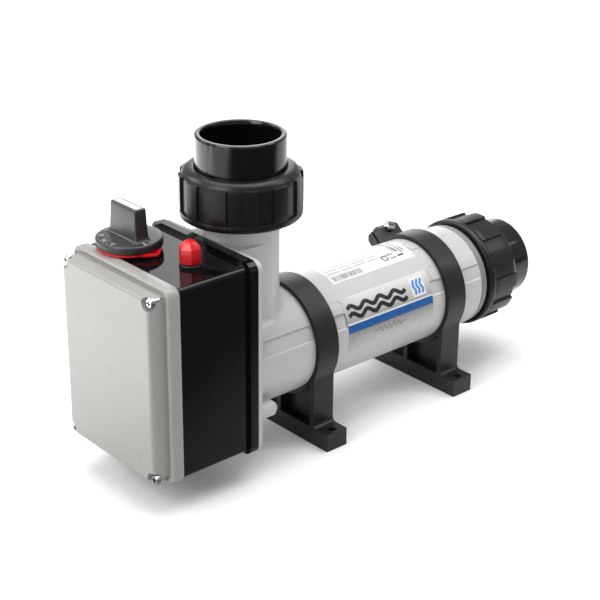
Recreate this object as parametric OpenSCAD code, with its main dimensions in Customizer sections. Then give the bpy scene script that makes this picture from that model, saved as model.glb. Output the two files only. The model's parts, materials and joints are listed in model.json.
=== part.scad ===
// In-line electric pool heater: a horizontal flow-through tube on two clamp feet, with a riser
// pipe, two solvent-weld unions and a control box on the tube's closed end.
// X runs along the tube towards the outlet, Z is up, and the labels face -Y.
// The origin is on the floor, midway between the four foot screw holes.

/* [Layout] */
// Height of the tube's axis above the floor
tube_axis_h = 68; // [60:1:84]
// Distance between the two clamps, centre to centre
clamp_pitch = 122; // [96:1:160]
// Distance from the riser's axis to the first clamp's centre
riser_to_clamp = 41; // [39:0.5:52]
// Distance from the second clamp's centre to the end of the main tube
clamp_to_tube_end = 29; // [20:0.5:45]
// Distance from the back plate's face to the riser's axis
plate_to_riser = 27.6; // [27:0.2:36]

/* [Tube and riser] */
// Outer diameter of the main tube
tube_d = 74; // [66:0.5:76]
// Wall of the main tube
tube_wall = 5; // [3.5:0.5:6]
// Outer diameter of the riser pipe
riser_d = 49; // [44:0.5:54]
// Inner diameter of the riser pipe
riser_bore_d = 40; // [30:0.5:42]
// Height of the riser's union nut above the tube's axis
riser_h = 96.4; // [86:0.2:116]
// Thickness of the wall that closes the outlet end
end_wall = 6; // [4:0.5:10]
// Diameter of the outlet bore
outlet_bore_d = 42; // [30:0.5:46]

/* [Unions] */
// Bore of the solvent-weld sockets
socket_d = 50.2; // [48:0.1:54]
// Depth of the sockets
socket_depth = 30; // [22:0.5:34]
// Wall of the sockets
socket_wall = 3.9; // [3:0.1:4.5]
// Length from a nut's open end to its socket's mouth
union_len = 52.8; // [48:0.2:64]
// Length of the union nuts
nut_len = 32; // [30:0.5:38]
// Wall of the nuts over their thread
nut_wall = 6.5; // [5:0.1:9]
// How far a tailpiece's flange stands out under its nut's lip
tail_land = 4; // [3:0.1:6]
// Length of thread that each nut covers
thread_len = 20; // [14:0.5:20]
// Number of grip pads around a nut
pad_count = 12; // [8:1:16]
// Width of the grooves between the pads
groove_w = 10; // [6:0.2:12]
// Depth of the grooves between the pads
groove_depth = 1.6; // [0.8:0.1:2]

/* [Clamp feet] */
// Width of a clamp along the tube
clamp_w = 17.8; // [12:0.2:22]
// Thickness of a clamp's ring
ring_t = 3.2; // [2.6:0.1:4.5]
// Distance over the outside of a clamp's legs
leg_span = 71; // [62:0.5:74]
// Thickness of a clamp's legs
leg_t = 3.8; // [3:0.1:6]
// Length of a foot bar across the tube
foot_len = 99; // [92:0.5:116]
// Height of a foot bar
foot_h = 12.6; // [8:0.2:15]
// Thickness of the web between a clamp's legs
web_t = 4; // [3:0.1:8]
// Distance between the screw holes of one foot
hole_pitch_y = 89; // [84:0.5:104]
// Diameter of the foot screw holes
foot_hole_d = 5.2; // [4:0.1:5.6]
// Radius of the fillets between a clamp's ring and its legs
ring_fillet_r = 8; // [2:0.5:12]
// Radius of the fillets between a clamp's legs and its foot bar
foot_fillet_r = 3.2; // [1:0.1:4]

/* [Control box] */
// Width of the box over its flange
flange_w = 100.4; // [96:0.2:112]
// Height of the box over its flange
flange_h = 132.6; // [128:0.2:150]
// Thickness of the flange
flange_t = 6; // [4:0.2:8]
// How far the flange stands proud of the box
flange_lip = 2.8; // [1:0.1:4]
// Depth of the box from the back plate to the lid
box_depth = 58; // [56:0.5:72]
// Height of the box's centre above the tube's axis
box_rise = 19.6; // [17:0.2:24]
// Wall of the box
box_wall = 3; // [2.4:0.1:3.5]
// Rear wall of the box
box_rear_t = 4; // [3:0.1:5]
// Corner radius of the flange
flange_corner_r = 7; // [5:0.5:10]
// Radius of the box's long edges
box_edge_r = 3; // [3:0.5:6]
// Radius of the box's inside corners
box_in_r = 2; // [1:0.5:4]

/* [Lid] */
// How far the lid stands proud of the box
lid_lip = 1.6; // [0.6:0.1:2.4]
// Corner radius of the lid's rim
lid_corner_r = 6; // [4:0.5:9]
// Depth of the lid's rim
lid_rim_d = 9; // [7:0.5:12]
// Step between the rim's edge and the raised panel
lid_panel_inset = 3.4; // [2.6:0.1:3.6]
// Height of the raised panel above the rim
lid_panel_h = 11; // [6:0.5:12]
// Distance between the lid screws across the box
lid_screw_y = 86; // [83:0.2:86.4]
// Distance between the lid screws up the box
lid_screw_z = 117.6; // [112:0.2:118.6]
// Diameter of the lid screws
lid_screw_d = 3.5; // [3:0.1:4]

/* [Temperature knob] */
// Diameter of the dial
dial_d = 42; // [34:0.5:44]
// Thickness of the dial
dial_t = 5; // [4:0.1:7]
// Distance from the lid's seam to the knob's axis
knob_from_seam = 15.5; // [15:0.5:24]
// Distance from the box's middle to the knob's axis, away from the labels
knob_y = 23; // [21:0.5:27]
// Length of the grip
grip_len = 27; // [20:0.5:32]
// Width of the grip
grip_w = 8.4; // [6:0.2:12]
// Height of the grip above the dial
grip_h = 20.6; // [12:0.2:24]
// Thickness of the red limit ring
limit_ring_t = 1.5; // [1.2:0.1:2.5]

/* [Reset button] */
// Distance from the box's back plate to the reset button's axis
reset_from_plate = 30; // [24:0.5:36]
// Distance from the box's middle to the reset button's axis, towards the labels
reset_y = 22; // [18:0.5:27]
// Width of the red cap over its flats
cap_af = 12.6; // [12.4:0.1:16]
// Height of the red cap
cap_h = 13.5; // [12.5:0.1:18]
// Travel of the reset button
reset_travel = 2.5; // [1.5:0.1:3]

/* [Heating elements] */
// Length of the hairpins inside the tube
element_len = 196; // [150:1:200]
// Diameter of the element rod
element_d = 8; // [6:0.1:8.6]
// Distance between the two legs of a hairpin
element_leg_pitch = 20; // [16:0.5:21]
// Distance between neighbouring hairpins
element_pitch = 15; // [13:0.5:16]

/* [Hidden] */
$fn = 96;

// Clearances
fit = 0.05;        // radial gap of a shaft or thread in its hole
gap = 0.3;         // gap between faces of pieces that move apart
slip = 0.4;        // gap between pieces that turn past each other
cut = 1;           // how far a cutting shape runs past the face it cuts

// Places along the tube
clamp_x = clamp_pitch / 2;
riser_x = -clamp_x - riser_to_clamp;
plate_x = riser_x - plate_to_riser;
plate_t = 4;
tube_end_x = clamp_x + clamp_to_tube_end;
collar_len = 6;
outlet_nut_x = tube_end_x + collar_len + 2;
tube_r = tube_d / 2;
bore_r = tube_r - tube_wall;
riser_r = riser_d / 2;
tail_r = socket_d / 2 + socket_wall;
thread_r = tail_r + tail_land;
nut_r = thread_r + nut_wall;

// The control box
box_z = tube_axis_h + box_rise;
box_w = flange_w - 2 * flange_lip;
box_h = flange_h - 2 * flange_lip;
box_top_z = box_z + box_h / 2;
seam_x = plate_x - box_depth;
rear_in_x = plate_x - box_rear_t;
lid_w = box_w + 2 * lid_lip;
lid_h = box_h + 2 * lid_lip;
lid_x = seam_x - gap;
lid_face_x = lid_x - lid_rim_d - lid_panel_h;
lid_wall = 3;
lid_land = lid_lip + box_wall + 1.4;
seal_w = 2;
screw_seat_x = lid_x - lid_rim_d - lid_panel_h + 4;
lid_head_r = 3.6;
lid_head_t = 2.4;
lid_recess_r = 5.2;
lid_panel_r = 3;
insert_r = 2.8;
insert_len = 8;
post_r = 4;

// The element plate and its screws
element_plate_t = 3;
element_face_x = rear_in_x - element_plate_t;
element_plate_w = 2 * (tube_r + 6);
element_plate_h = 2 * (tube_r - 1);
boss_y = tube_r;
boss_z = tube_r - 8;
boss_lift = 3.7;
boss_r = 5.4;
boss_end_x = plate_x + 24;
box_screw_r = 2;
spigot_r = tube_r - 0.6;
spigot_end_x = rear_in_x + 0.2;
o_ring_r = 1.2;
o_ring_groove = 2 * o_ring_r - 0.2;
element_seal_r = (spigot_r + bore_r) / 2;
element_r = element_d / 2;
element_y = [-element_pitch, 0, element_pitch];
leg_z = [-element_leg_pitch / 2, element_leg_pitch / 2];
insulator_r = 4.4;
insulator_len = 6;
stud_r = 2;
stud_len = 18;
element_nut_af = 7;
element_nut_t = 3;
link_t = 1;

// Sensing bulbs and their pockets
pocket_r = 4;
pocket_bore_r = 3.2;
pocket_len = 90;
pocket_y = 10;
pocket_z = -bore_r + pocket_r + 3.6;
bulb_r = 3;
bulb_len = 70;
capillary_r = 0.9;

// The thermostat and its knob
knob_x = seam_x + knob_from_seam;
thermostat_size = [29, 30, 26];
spindle_r = 3;
spindle_bush_r = 5;
limit_z = box_top_z + lid_lip + gap;
dial_z = limit_z + limit_ring_t + gap;
dial_top_z = dial_z + dial_t;
limit_r = dial_d / 2 - 0.6;
tab_reach = 4.8;
dial_boss_r = 14;
insert_w = 4.6;
insert_t = 1;
thermostat_screw_pitch = 22;

// The overheat cut-out and its cap
reset_x = plate_x - reset_from_plate;
cutout_size = [22, 22, 24];
bush_r = 4;
bush_bore_r = 2.4;
bush_top = 6.5;
bush_nut_r = 6.9;
bush_nut_t = 1.5;
cap_seal_t = 0.8;
cap_z = box_top_z + bush_nut_t + cap_seal_t;
cap_bore_top = box_top_z + bush_top + reset_travel + 0.8;
cap_roof = 1.6;

// The flow paddle
paddle_x = riser_x - 21;
paddle_z = tube_axis_h + bore_r - 7;
paddle_t = 1.6;
paddle_r = 13;
pin_r = 1.2;
fork_y = 6;
fork_t = 2;
magnet_r = 2.4;
magnet_len = 5;
reed_r = 1.4;
reed_len = 14;

// The cable gland
gland_x = plate_x - 28;
gland_z = tube_axis_h - 20;
gland_r = 8;
gland_hex_af = 22;
gland_bore_r = 5;
gland_hex_t = 5;
gland_thread_out = 9;
dome_len = 15;

// The clamps
ring_r = tube_r + fit + ring_t;
lug_angle = 40;
lug_reach = 10.4;
lug_chamfer = 3;
lug_t = 8;
lug_split = 1.6;
clamp_screw_r = 2;
clamp_screw_dist = ring_r + 6.2;

// The unions
tail_flange_r = thread_r - 0.3;
nut_lip = 3;
tail_bore_r = 22;
union_seal_r = (thread_r + riser_bore_d / 2) / 2 + 1;

// The labels
label_t = 0.25;
rating_len = 78;
front_len = 80;

// ---------------------------------------------------------------- shared shapes

// Stands children, drawn along +Z, along +X from the given x on the tube's axis
module along_x(x = 0, y = 0, z = 0) {
    translate([x, y, z]) rotate([0, 90, 0]) children();
}

// Rounded rectangle, w along Y and h along Z, from x0 to x1
module plate_yz(w, h, r, x0, x1) {
    translate([x0, 0, 0]) rotate([90, 0, 90]) linear_extrude(x1 - x0) rounded_rect(w, h, r);
}

// Flat rounded rectangle
module rounded_rect(w, h, r) {
    square([w - 2 * r, h], center = true);
    square([w, h - 2 * r], center = true);
    for (sx = [-1, 1], sy = [-1, 1])
        translate([sx * (w / 2 - r), sy * (h / 2 - r)]) circle(r);
}

// Hexagonal prism over its flats
module hex(af, h) {
    cylinder(r = af / 2 / cos(30), h = h, $fn = 6);
}

// Ring with its axis along Z
module ring(r_out, r_in, h) {
    difference() {
        cylinder(r = r_out, h = h);
        translate([0, 0, -cut]) cylinder(r = r_in, h = h + 2 * cut);
    }
}

// O-ring with its axis along Z
module o_ring(r, section_r) {
    rotate_extrude() translate([r, 0]) circle(section_r, $fn = 32);
}

// Cross-head screw along Z: the head's underside at z = 0, the shank below it
module cross_screw(shank_r, shank_len, head_r, head_t) {
    difference() {
        union() {
            cylinder(r = head_r, h = head_t * 0.55);
            translate([0, 0, head_t * 0.55]) cylinder(r1 = head_r, r2 = head_r * 0.7, h = head_t * 0.45);
            translate([0, 0, -shank_len]) cylinder(r = shank_r, h = shank_len);
        }
        for (a = [0, 90])
            rotate(a) translate([-head_r * 0.55, -head_r * 0.13, head_t * 0.45])
                cube([head_r * 1.1, head_r * 0.26, head_t]);
    }
}

// Children at the four corners of a rectangle, y and z apart, about a point of the YZ plane
module four_corners(y, z, z0) {
    for (sy = [-1, 1], sz = [-1, 1])
        translate([0, sy * y / 2, z0 + sz * z / 2]) children();
}

// Children at the four box screws
module at_box_screws() {
    four_corners(2 * boss_y, 2 * boss_z, tube_axis_h + boss_lift) children();
}

// Children at the four lid screws
module at_lid_screws() {
    four_corners(lid_screw_y, lid_screw_z, box_z) children();
}

// Children at the six element legs, where the tube's axis is at the given height
module at_element_legs() {
    for (y = element_y, z = leg_z)
        translate([0, y, tube_axis_h + z]) children();
}

// Point of a cubic curve through p[0] and p[3], pulled by p[1] and p[2]
function curve_point(p, t) =
    pow(1 - t, 3) * p[0] + 3 * t * pow(1 - t, 2) * p[1] + 3 * t * t * (1 - t) * p[2] + pow(t, 3) * p[3];
function unit(v) = v / norm(v);

// Round wire of radius r along a cubic curve, as rings of flat faces
module wire(p, r, rings = 14, sides = 8) {
    points = [for (i = [0:rings]) let (
        t = i / rings,
        here = curve_point(p, t),
        ahead = curve_point(p, min(1, t + 0.01)),
        behind = curve_point(p, max(0, t - 0.01)),
        dir = unit(ahead - behind),
        side = unit(cross(dir, [0.31, 0.17, 0.93])),
        up = cross(side, dir))
        for (k = [0:sides - 1]) here + r * (cos(360 * k / sides) * side + sin(360 * k / sides) * up)];
    walls = [for (i = [0:rings - 1], k = [0:sides - 1], half = [0, 1]) let (
        a = i * sides + k,
        b = i * sides + (k + 1) % sides)
        half == 0 ? [a, b, b + sides] : [a, b + sides, a + sides]];
    polyhedron(points, concat(walls,
        [[for (k = [sides - 1:-1:0]) k]], [[for (k = [0:sides - 1]) rings * sides + k]]));
}

// ---------------------------------------------------------------- water body

// Shallow recessed strip along the labels' side of the tube
module tube_strip() {
    strip_depth = 0.8;
    intersection() {
        along_x(plate_x + plate_t, 0, tube_axis_h)
            ring(tube_r + cut, tube_r - strip_depth, tube_end_x - plate_x - plate_t + cut);
        translate([plate_x + plate_t, 0, tube_axis_h]) rotate([90, 0, 90])
            linear_extrude(tube_end_x - plate_x)
                polygon([[0, 0], for (a = [15.3, 31.5]) -2 * tube_r * [cos(a), -sin(a)]]);
    }
}

module heater_body() {
    color([0.8, 0.8, 0.79]) difference() {
        union() {
            difference() {
                along_x(plate_x, 0, tube_axis_h) cylinder(r = tube_r, h = tube_end_x - plate_x);
                tube_strip();
            }
            along_x(tube_end_x - cut, 0, tube_axis_h)
                cylinder(r = tube_r - 0.8, h = collar_len + cut);
            along_x(tube_end_x, 0, tube_axis_h)
                cylinder(r = thread_r, h = outlet_nut_x + thread_len - tube_end_x);
            along_x(spigot_end_x, 0, tube_axis_h) cylinder(r = spigot_r, h = plate_x - spigot_end_x + cut);
            translate([riser_x, 0, tube_axis_h]) {
                cylinder(r = riser_r, h = riser_h + 2);
                translate([0, 0, riser_h + 1]) cylinder(r = thread_r, h = thread_len - 1);
            }
            translate([plate_x, -riser_r, tube_axis_h])
                cube([plate_to_riser, riser_d, riser_h - 13.6]);
            translate([0, 0, box_z])
                plate_yz(flange_w - 2.4, flange_h - 2.4, flange_corner_r - 1.2, plate_x, plate_x + plate_t);
            at_box_screws() along_x(plate_x) {
                cylinder(r = boss_r, h = boss_end_x - plate_x - 3);
                translate([0, 0, boss_end_x - plate_x - 3]) cylinder(r1 = boss_r, r2 = boss_r - 2.4, h = 3);
            }
        }
        along_x(spigot_end_x - cut, 0, tube_axis_h)
            cylinder(r = bore_r, h = outlet_nut_x - end_wall - spigot_end_x + cut);
        along_x(tube_end_x - end_wall, 0, tube_axis_h)
            cylinder(r = outlet_bore_d / 2, h = collar_len + end_wall + thread_len + 2 * cut);
        translate([riser_x, 0, tube_axis_h])
            cylinder(r = riser_bore_d / 2, h = riser_h + thread_len + cut);
        at_box_screws() along_x(plate_x - cut)
            cylinder(r = box_screw_r + fit, h = boss_end_x - plate_x - 6 + cut, $fn = 32);
        along_x(spigot_end_x - cut, 0, tube_axis_h) seal_groove(element_seal_r, cut);
        along_x(outlet_nut_x + thread_len - o_ring_groove, 0, tube_axis_h) seal_groove(union_seal_r, 0);
        translate([riser_x, 0, tube_axis_h + riser_h + thread_len - o_ring_groove])
            seal_groove(union_seal_r, 0);
    }
}

// Cutter for an O-ring's face groove: as deep as the groove past the given allowance
module seal_groove(r, allowance) {
    ring(r + o_ring_r, r - o_ring_r, o_ring_groove + max(allowance, cut));
}

// ---------------------------------------------------------------- control box

module box_body() {
    color([0.03, 0.03, 0.035]) difference() {
        union() {
            translate([0, 0, box_z]) {
                plate_yz(box_w, box_h, box_edge_r, seam_x, plate_x);
                plate_yz(flange_w, flange_h, flange_corner_r, plate_x - flange_t, plate_x);
            }
            translate([knob_x, knob_y, box_top_z - cut]) cylinder(r = dial_boss_r, h = lid_lip + cut);
        }
        difference() {
            translate([0, 0, box_z])
                plate_yz(box_w - 2 * box_wall, box_h - 2 * box_wall, box_in_r,
                    seam_x - cut, rear_in_x);
            at_lid_screws() along_x(seam_x - 2 * cut) cylinder(r = post_r, h = box_depth + cut, $fn = 48);
        }
        along_x(rear_in_x - cut, 0, tube_axis_h) cylinder(r = spigot_r + gap, h = box_rear_t + 2 * cut);
        at_box_screws() along_x(rear_in_x - cut)
            cylinder(r = box_screw_r + gap, h = box_rear_t + 2 * cut, $fn = 32);
        at_lid_screws() along_x(seam_x - cut) cylinder(r = insert_r, h = insert_len + cut, $fn = 32);
        translate([knob_x, knob_y, box_top_z - box_wall - cut])
            cylinder(r = spindle_bush_r + fit, h = box_wall + lid_lip + 2 * cut, $fn = 48);
        for (sy = [-1, 1])
            translate([knob_x, knob_y + sy * thermostat_screw_pitch / 2, box_top_z - box_wall - cut])
                cylinder(r = 1.6, h = box_wall + lid_lip + 2 * cut, $fn = 32);
        translate([reset_x, -reset_y, box_top_z - box_wall - cut])
            cylinder(r = bush_r + fit, h = box_wall + 2 * cut, $fn = 48);
        translate([gland_x, box_w / 2 - box_wall - cut, gland_z]) rotate([-90, 0, 0])
            cylinder(r = gland_r + fit, h = box_wall + 2 * cut, $fn = 48);
    }
}

module lid_inserts() {
    color([0.72, 0.58, 0.28]) at_lid_screws() along_x(seam_x + 0.2)
        ring(insert_r, lid_screw_d / 2 + fit, insert_len - 0.4, $fn = 32);
}

// ---------------------------------------------------------------- lid

// Outside of the lid: a rim band and a raised panel whose corners carry the screws
module lid_outside() {
    plate_yz(lid_w, lid_h, lid_corner_r, lid_x - lid_rim_d, lid_x);
    plate_yz(lid_w - 2 * lid_panel_inset, lid_h - 2 * lid_panel_inset, lid_panel_r, lid_face_x, lid_x);
}

module box_lid() {
    color([0.78, 0.77, 0.74]) difference() {
        translate([0, 0, box_z]) lid_outside();
        translate([0, 0, box_z]) {
            plate_yz(lid_w - 2 * lid_land, lid_h - 2 * lid_land, box_in_r, lid_x - lid_rim_d, lid_x + cut);
            plate_yz(lid_w - 25, lid_h - 25, box_in_r, lid_face_x + lid_wall, lid_x);
            seal_shape(0, seal_w + cut);
        }
        at_lid_screws() {
            along_x(lid_face_x - cut) cylinder(r = lid_recess_r, h = screw_seat_x - lid_face_x + cut, $fn = 48);
            along_x(lid_face_x) cylinder(r = lid_screw_d / 2 + 0.2, h = lid_x - lid_face_x + cut, $fn = 32);
        }
    }
}

// Closed frame that follows the box's front edge, thinner than its groove by the clearance
module seal_shape(clearance, depth) {
    w = box_w - box_wall + seal_w;
    h = box_h - box_wall + seal_w;
    r = box_edge_r - (box_wall - seal_w) / 2;
    difference() {
        plate_yz(w - 2 * clearance, h - 2 * clearance, r, lid_x - seal_w, lid_x - seal_w + depth);
        plate_yz(w - 2 * seal_w + 2 * clearance, h - 2 * seal_w + 2 * clearance, r - seal_w,
            lid_x - seal_w - cut, lid_x + depth + cut);
    }
}

module lid_seal() {
    color([0.15, 0.15, 0.15]) translate([0, 0, box_z]) difference() {
        seal_shape(fit, seal_w);
        translate([0, 0, -box_z]) at_lid_screws()
            along_x(lid_x - seal_w - cut) cylinder(r = lid_screw_d / 2 + 0.6, h = seal_w + 2 * cut, $fn = 32);
    }
}

module lid_screws() {
    color([0.75, 0.75, 0.76]) at_lid_screws() translate([screw_seat_x, 0, 0]) rotate([0, -90, 0])
        cross_screw(lid_screw_d / 2, lid_x + gap + insert_len - 2 - screw_seat_x, lid_head_r, lid_head_t,
            $fn = 48);
}

// ---------------------------------------------------------------- element plate

module box_screws() {
    color([0.7, 0.7, 0.72]) at_box_screws() translate([element_face_x, 0, 0]) rotate([0, -90, 0])
        cross_screw(box_screw_r, boss_end_x - 8 - element_face_x, 3.6, 2.6, $fn = 48);
}

module element_plate() {
    color([0.72, 0.72, 0.74]) difference() {
        union() {
            translate([0, 0, tube_axis_h])
                plate_yz(element_plate_w, element_plate_h, 6, element_face_x, rear_in_x);
            for (sy = [-1, 1])
                translate([rear_in_x - cut, sy * (fork_y + fork_t / 2) - fork_t / 2, paddle_z - 3.5])
                    cube([paddle_x - rear_in_x + 4 + cut, fork_t, 6]);
        }
        at_box_screws() along_x(element_face_x - cut)
            cylinder(r = box_screw_r + gap, h = element_plate_t + 2 * cut, $fn = 32);
        at_element_legs() along_x(element_face_x - cut)
            cylinder(r = element_r, h = element_plate_t + 2 * cut, $fn = 48);
        for (sy = [-1, 1])
            along_x(element_face_x - cut, sy * pocket_y, tube_axis_h + pocket_z)
                cylinder(r = pocket_r, h = element_plate_t + 2 * cut, $fn = 48);
        translate([paddle_x, -fork_y - fork_t - cut, paddle_z]) rotate([-90, 0, 0])
            cylinder(r = pin_r, h = 2 * (fork_y + fork_t + cut), $fn = 32);
        along_x(element_face_x - cut, 0, paddle_z) cylinder(r = reed_r + 0.2, h = element_plate_t, $fn = 32);
    }
}

module element_seal() {
    color([0.1, 0.1, 0.1]) along_x(rear_in_x + o_ring_r, 0, tube_axis_h) o_ring(element_seal_r, o_ring_r);
}

// One hairpin: two straight legs joined by a half-round bend
module hairpin(y) {
    bend_r = element_leg_pitch / 2;
    bend_x = rear_in_x + element_len - bend_r - element_r;
    translate([0, y, tube_axis_h]) {
        for (z = leg_z)
            along_x(element_face_x, 0, z) cylinder(r = element_r, h = bend_x - element_face_x, $fn = 48);
        translate([bend_x, 0, 0]) rotate([90, 0, 0]) intersection() {
            rotate_extrude() translate([bend_r, 0]) circle(element_r, $fn = 48);
            translate([0, -2 * bend_r, -element_d]) cube([2 * bend_r, 4 * bend_r, 2 * element_d]);
        }
    }
}

module heating_element_1() {
    color([0.42, 0.44, 0.42]) hairpin(element_y[0]);
}

module heating_element_2() {
    color([0.42, 0.44, 0.42]) hairpin(element_y[1]);
}

module heating_element_3() {
    color([0.42, 0.44, 0.42]) hairpin(element_y[2]);
}

module element_insulators() {
    color([0.92, 0.9, 0.84]) at_element_legs() along_x(element_face_x - insulator_len)
        ring(insulator_r, stud_r, insulator_len, $fn = 48);
}

module element_studs() {
    color([0.7, 0.7, 0.7]) at_element_legs() along_x(element_face_x - stud_len)
        cylinder(r = stud_r, h = stud_len, $fn = 32);
}

module element_nuts() {
    color([0.75, 0.72, 0.6]) at_element_legs()
        along_x(element_face_x - insulator_len - link_t - element_nut_t) difference() {
            hex(element_nut_af, element_nut_t);
            translate([0, 0, -cut]) cylinder(r = stud_r, h = element_nut_t + 2 * cut, $fn = 32);
        }
}

// Flat bar that joins the lower ends of the hairpins
module neutral_link() {
    link_w = 8;
    color([0.72, 0.5, 0.3]) difference() {
        translate([element_face_x - insulator_len - link_t / 2, 0, tube_axis_h + leg_z[0]])
            cube([link_t, 2 * element_pitch + link_w, link_w], center = true);
        for (y = element_y)
            along_x(element_face_x - insulator_len - link_t - cut, y, tube_axis_h + leg_z[0])
                cylinder(r = stud_r, h = link_t + 2 * cut, $fn = 32);
    }
}

module earth_stud() {
    color([0.72, 0.58, 0.28]) along_x(element_face_x - 14, element_plate_w / 2 - 12, tube_axis_h) {
        cylinder(r = 2, h = 14, $fn = 32);
        translate([0, 0, 8]) hex(7, 3);
        translate([0, 0, 11]) cylinder(r = 4.5, h = 1, $fn = 48);
    }
}

// ---------------------------------------------------------------- sensing bulbs

// Blind tube that keeps a sensing bulb dry
module pocket(y) {
    along_x(element_face_x, y, tube_axis_h + pocket_z) difference() {
        cylinder(r = pocket_r, h = pocket_len, $fn = 48);
        translate([0, 0, -cut]) cylinder(r = pocket_bore_r, h = pocket_len, $fn = 48);
    }
}

module thermostat_pocket() {
    color([0.7, 0.7, 0.7]) pocket(pocket_y);
}

module cutout_pocket() {
    color([0.7, 0.7, 0.7]) pocket(-pocket_y);
}

module bulb(y) {
    along_x(element_face_x + 4, y, tube_axis_h + pocket_z) cylinder(r = bulb_r, h = bulb_len, $fn = 48);
}

module thermostat_bulb() {
    color([0.72, 0.5, 0.3]) bulb(pocket_y);
}

module cutout_bulb() {
    color([0.72, 0.5, 0.3]) bulb(-pocket_y);
}

// Thin tube from a bulb's end, out of the pocket and up to its switch body
module capillary(y, x_top, y_top, z_top, x_front) {
    start = [element_face_x + 4, y, tube_axis_h + pocket_z];
    wire([start, [x_front, y, start[2]], [x_front, y_top, start[2]], [x_top, y_top, z_top]],
        capillary_r, 24);
}

module thermostat_capillary() {
    color([0.72, 0.5, 0.3])
        capillary(pocket_y, knob_x + 8, knob_y + 5, box_top_z - box_wall - thermostat_size[2],
            element_face_x - 30);
}

module cutout_capillary() {
    color([0.72, 0.5, 0.3])
        capillary(-pocket_y, reset_x - 4, -reset_y, box_top_z - box_wall - cutout_size[2],
            element_face_x - 38);
}

// ---------------------------------------------------------------- thermostat

module thermostat_body() {
    color([0.85, 0.83, 0.76]) translate([knob_x, knob_y, box_top_z - box_wall]) difference() {
        union() {
            translate([-thermostat_size[0] / 2, -thermostat_size[1] / 2, -thermostat_size[2]])
                cube(thermostat_size);
            cylinder(r = spindle_bush_r, h = box_wall - 0.2, $fn = 48);
            for (y = [-10, 0, 10])
                translate([-6, y - 0.4, -thermostat_size[2] - 7]) cube([6.3, 0.8, 8]);
        }
        translate([0, 0, -12]) cylinder(r = spindle_r + fit, h = 12 + box_wall + cut, $fn = 48);
        for (sy = [-1, 1])
            translate([0, sy * thermostat_screw_pitch / 2, -6]) cylinder(r = 1.5, h = 6 + cut, $fn = 32);
    }
}

module thermostat_screws() {
    color([0.7, 0.7, 0.72]) for (sy = [-1, 1])
        translate([knob_x, knob_y + sy * thermostat_screw_pitch / 2, box_top_z - 1.4]) {
            cylinder(r1 = 1.5, r2 = 1.6 - 0.02, h = 1.3, $fn = 32);
            translate([0, 0, -6]) cylinder(r = 1.5, h = 6, $fn = 32);
        }
}

module thermostat_spindle() {
    color([0.7, 0.7, 0.7]) translate([knob_x, knob_y, 0]) difference() {
        translate([0, 0, box_top_z - box_wall - 11]) cylinder(r = spindle_r, h = 11 + box_wall + 12, $fn = 48);
        translate([1.8, -spindle_r - cut, box_top_z + 4]) cube([4, 2 * spindle_r + 2 * cut, 12]);
    }
}

module limit_ring() {
    color([0.75, 0.05, 0.05]) translate([knob_x, knob_y, limit_z]) difference() {
        union() {
            cylinder(r = limit_r, h = limit_ring_t);
            rotate(-82) linear_extrude(limit_ring_t)
                polygon([[limit_r - 4, -8], [limit_r - 1, -8], [limit_r + tab_reach, -1.5],
                    [limit_r + tab_reach, 1.5], [limit_r - 1, 8], [limit_r - 4, 8]]);
        }
        translate([0, 0, -cut]) cylinder(r = spindle_r + 2, h = limit_ring_t + 2 * cut, $fn = 48);
        rotate(-82) translate([limit_r + 1.8, 0, -cut]) cylinder(r = 1.1, h = limit_ring_t + 2 * cut, $fn = 32);
    }
}

module knob() {
    skirt_wall = 2;
    color([0.16, 0.16, 0.17]) translate([knob_x, knob_y, dial_z]) difference() {
        union() {
            cylinder(r = dial_d / 2, h = dial_t - 0.8);
            translate([0, 0, dial_t - 0.8]) cylinder(r1 = dial_d / 2, r2 = dial_d / 2 - 0.8, h = 0.8);
            translate([-grip_w / 2, -grip_len / 2, dial_t - cut]) cube([grip_w, grip_len, grip_h + cut]);
            translate([-grip_w / 2 - 1.6, -grip_len / 2 - 1.6, dial_t - cut])
                cube([grip_w + 3.2, grip_len + 3.2, cut + 1.2]);
        }
        difference() {
            translate([0, 0, -cut]) cylinder(r = dial_d / 2 - skirt_wall, h = dial_t - 2 + cut);
            translate([0, 0, -2 * cut]) cylinder(r = spindle_r + 2, h = dial_t + cut, $fn = 48);
        }
        difference() {
            translate([0, 0, -cut]) cylinder(r = spindle_r, h = box_top_z + 12 - dial_z + cut + 0.2, $fn = 48);
            translate([1.8, -spindle_r - cut, box_top_z + 4 - dial_z]) cube([4, 2 * spindle_r + 2 * cut, 14]);
        }
        translate([-insert_w / 2, -grip_len / 2 + 2, dial_t + grip_h - insert_t])
            cube([insert_w, grip_len - 4, insert_t + cut]);
    }
}

module knob_insert() {
    color([0.93, 0.93, 0.92])
        translate([knob_x - insert_w / 2 + fit, knob_y - grip_len / 2 + 2 + fit, dial_top_z + grip_h - insert_t])
            cube([insert_w - 2 * fit, grip_len - 4 - 2 * fit, insert_t]);
}

// ---------------------------------------------------------------- overheat cut-out

module cutout_body() {
    color([0.1, 0.1, 0.11]) translate([reset_x, -reset_y, box_top_z - box_wall]) difference() {
        union() {
            translate([-cutout_size[0] / 2, -cutout_size[1] / 2, -cutout_size[2]]) cube(cutout_size);
            cylinder(r = bush_r, h = box_wall + bush_top, $fn = 48);
            for (y = [-6, 6])
                translate([-8, y - 0.4, -cutout_size[2] - 7]) cube([6, 0.8, 8]);
        }
        translate([0, 0, -10]) cylinder(r = bush_bore_r, h = 10 + box_wall + bush_top + cut, $fn = 48);
    }
}

module reset_bush_nut() {
    color([0.08, 0.08, 0.08]) translate([reset_x, -reset_y, box_top_z])
        ring(bush_nut_r, bush_r + fit, bush_nut_t, $fn = 48);
}

module reset_button() {
    color([0.8, 0.1, 0.1]) translate([reset_x, -reset_y, box_top_z - box_wall - 7])
        cylinder(r = bush_bore_r - fit, h = 7 + box_wall + bush_top + reset_travel - 0.2, $fn = 48);
}

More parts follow.
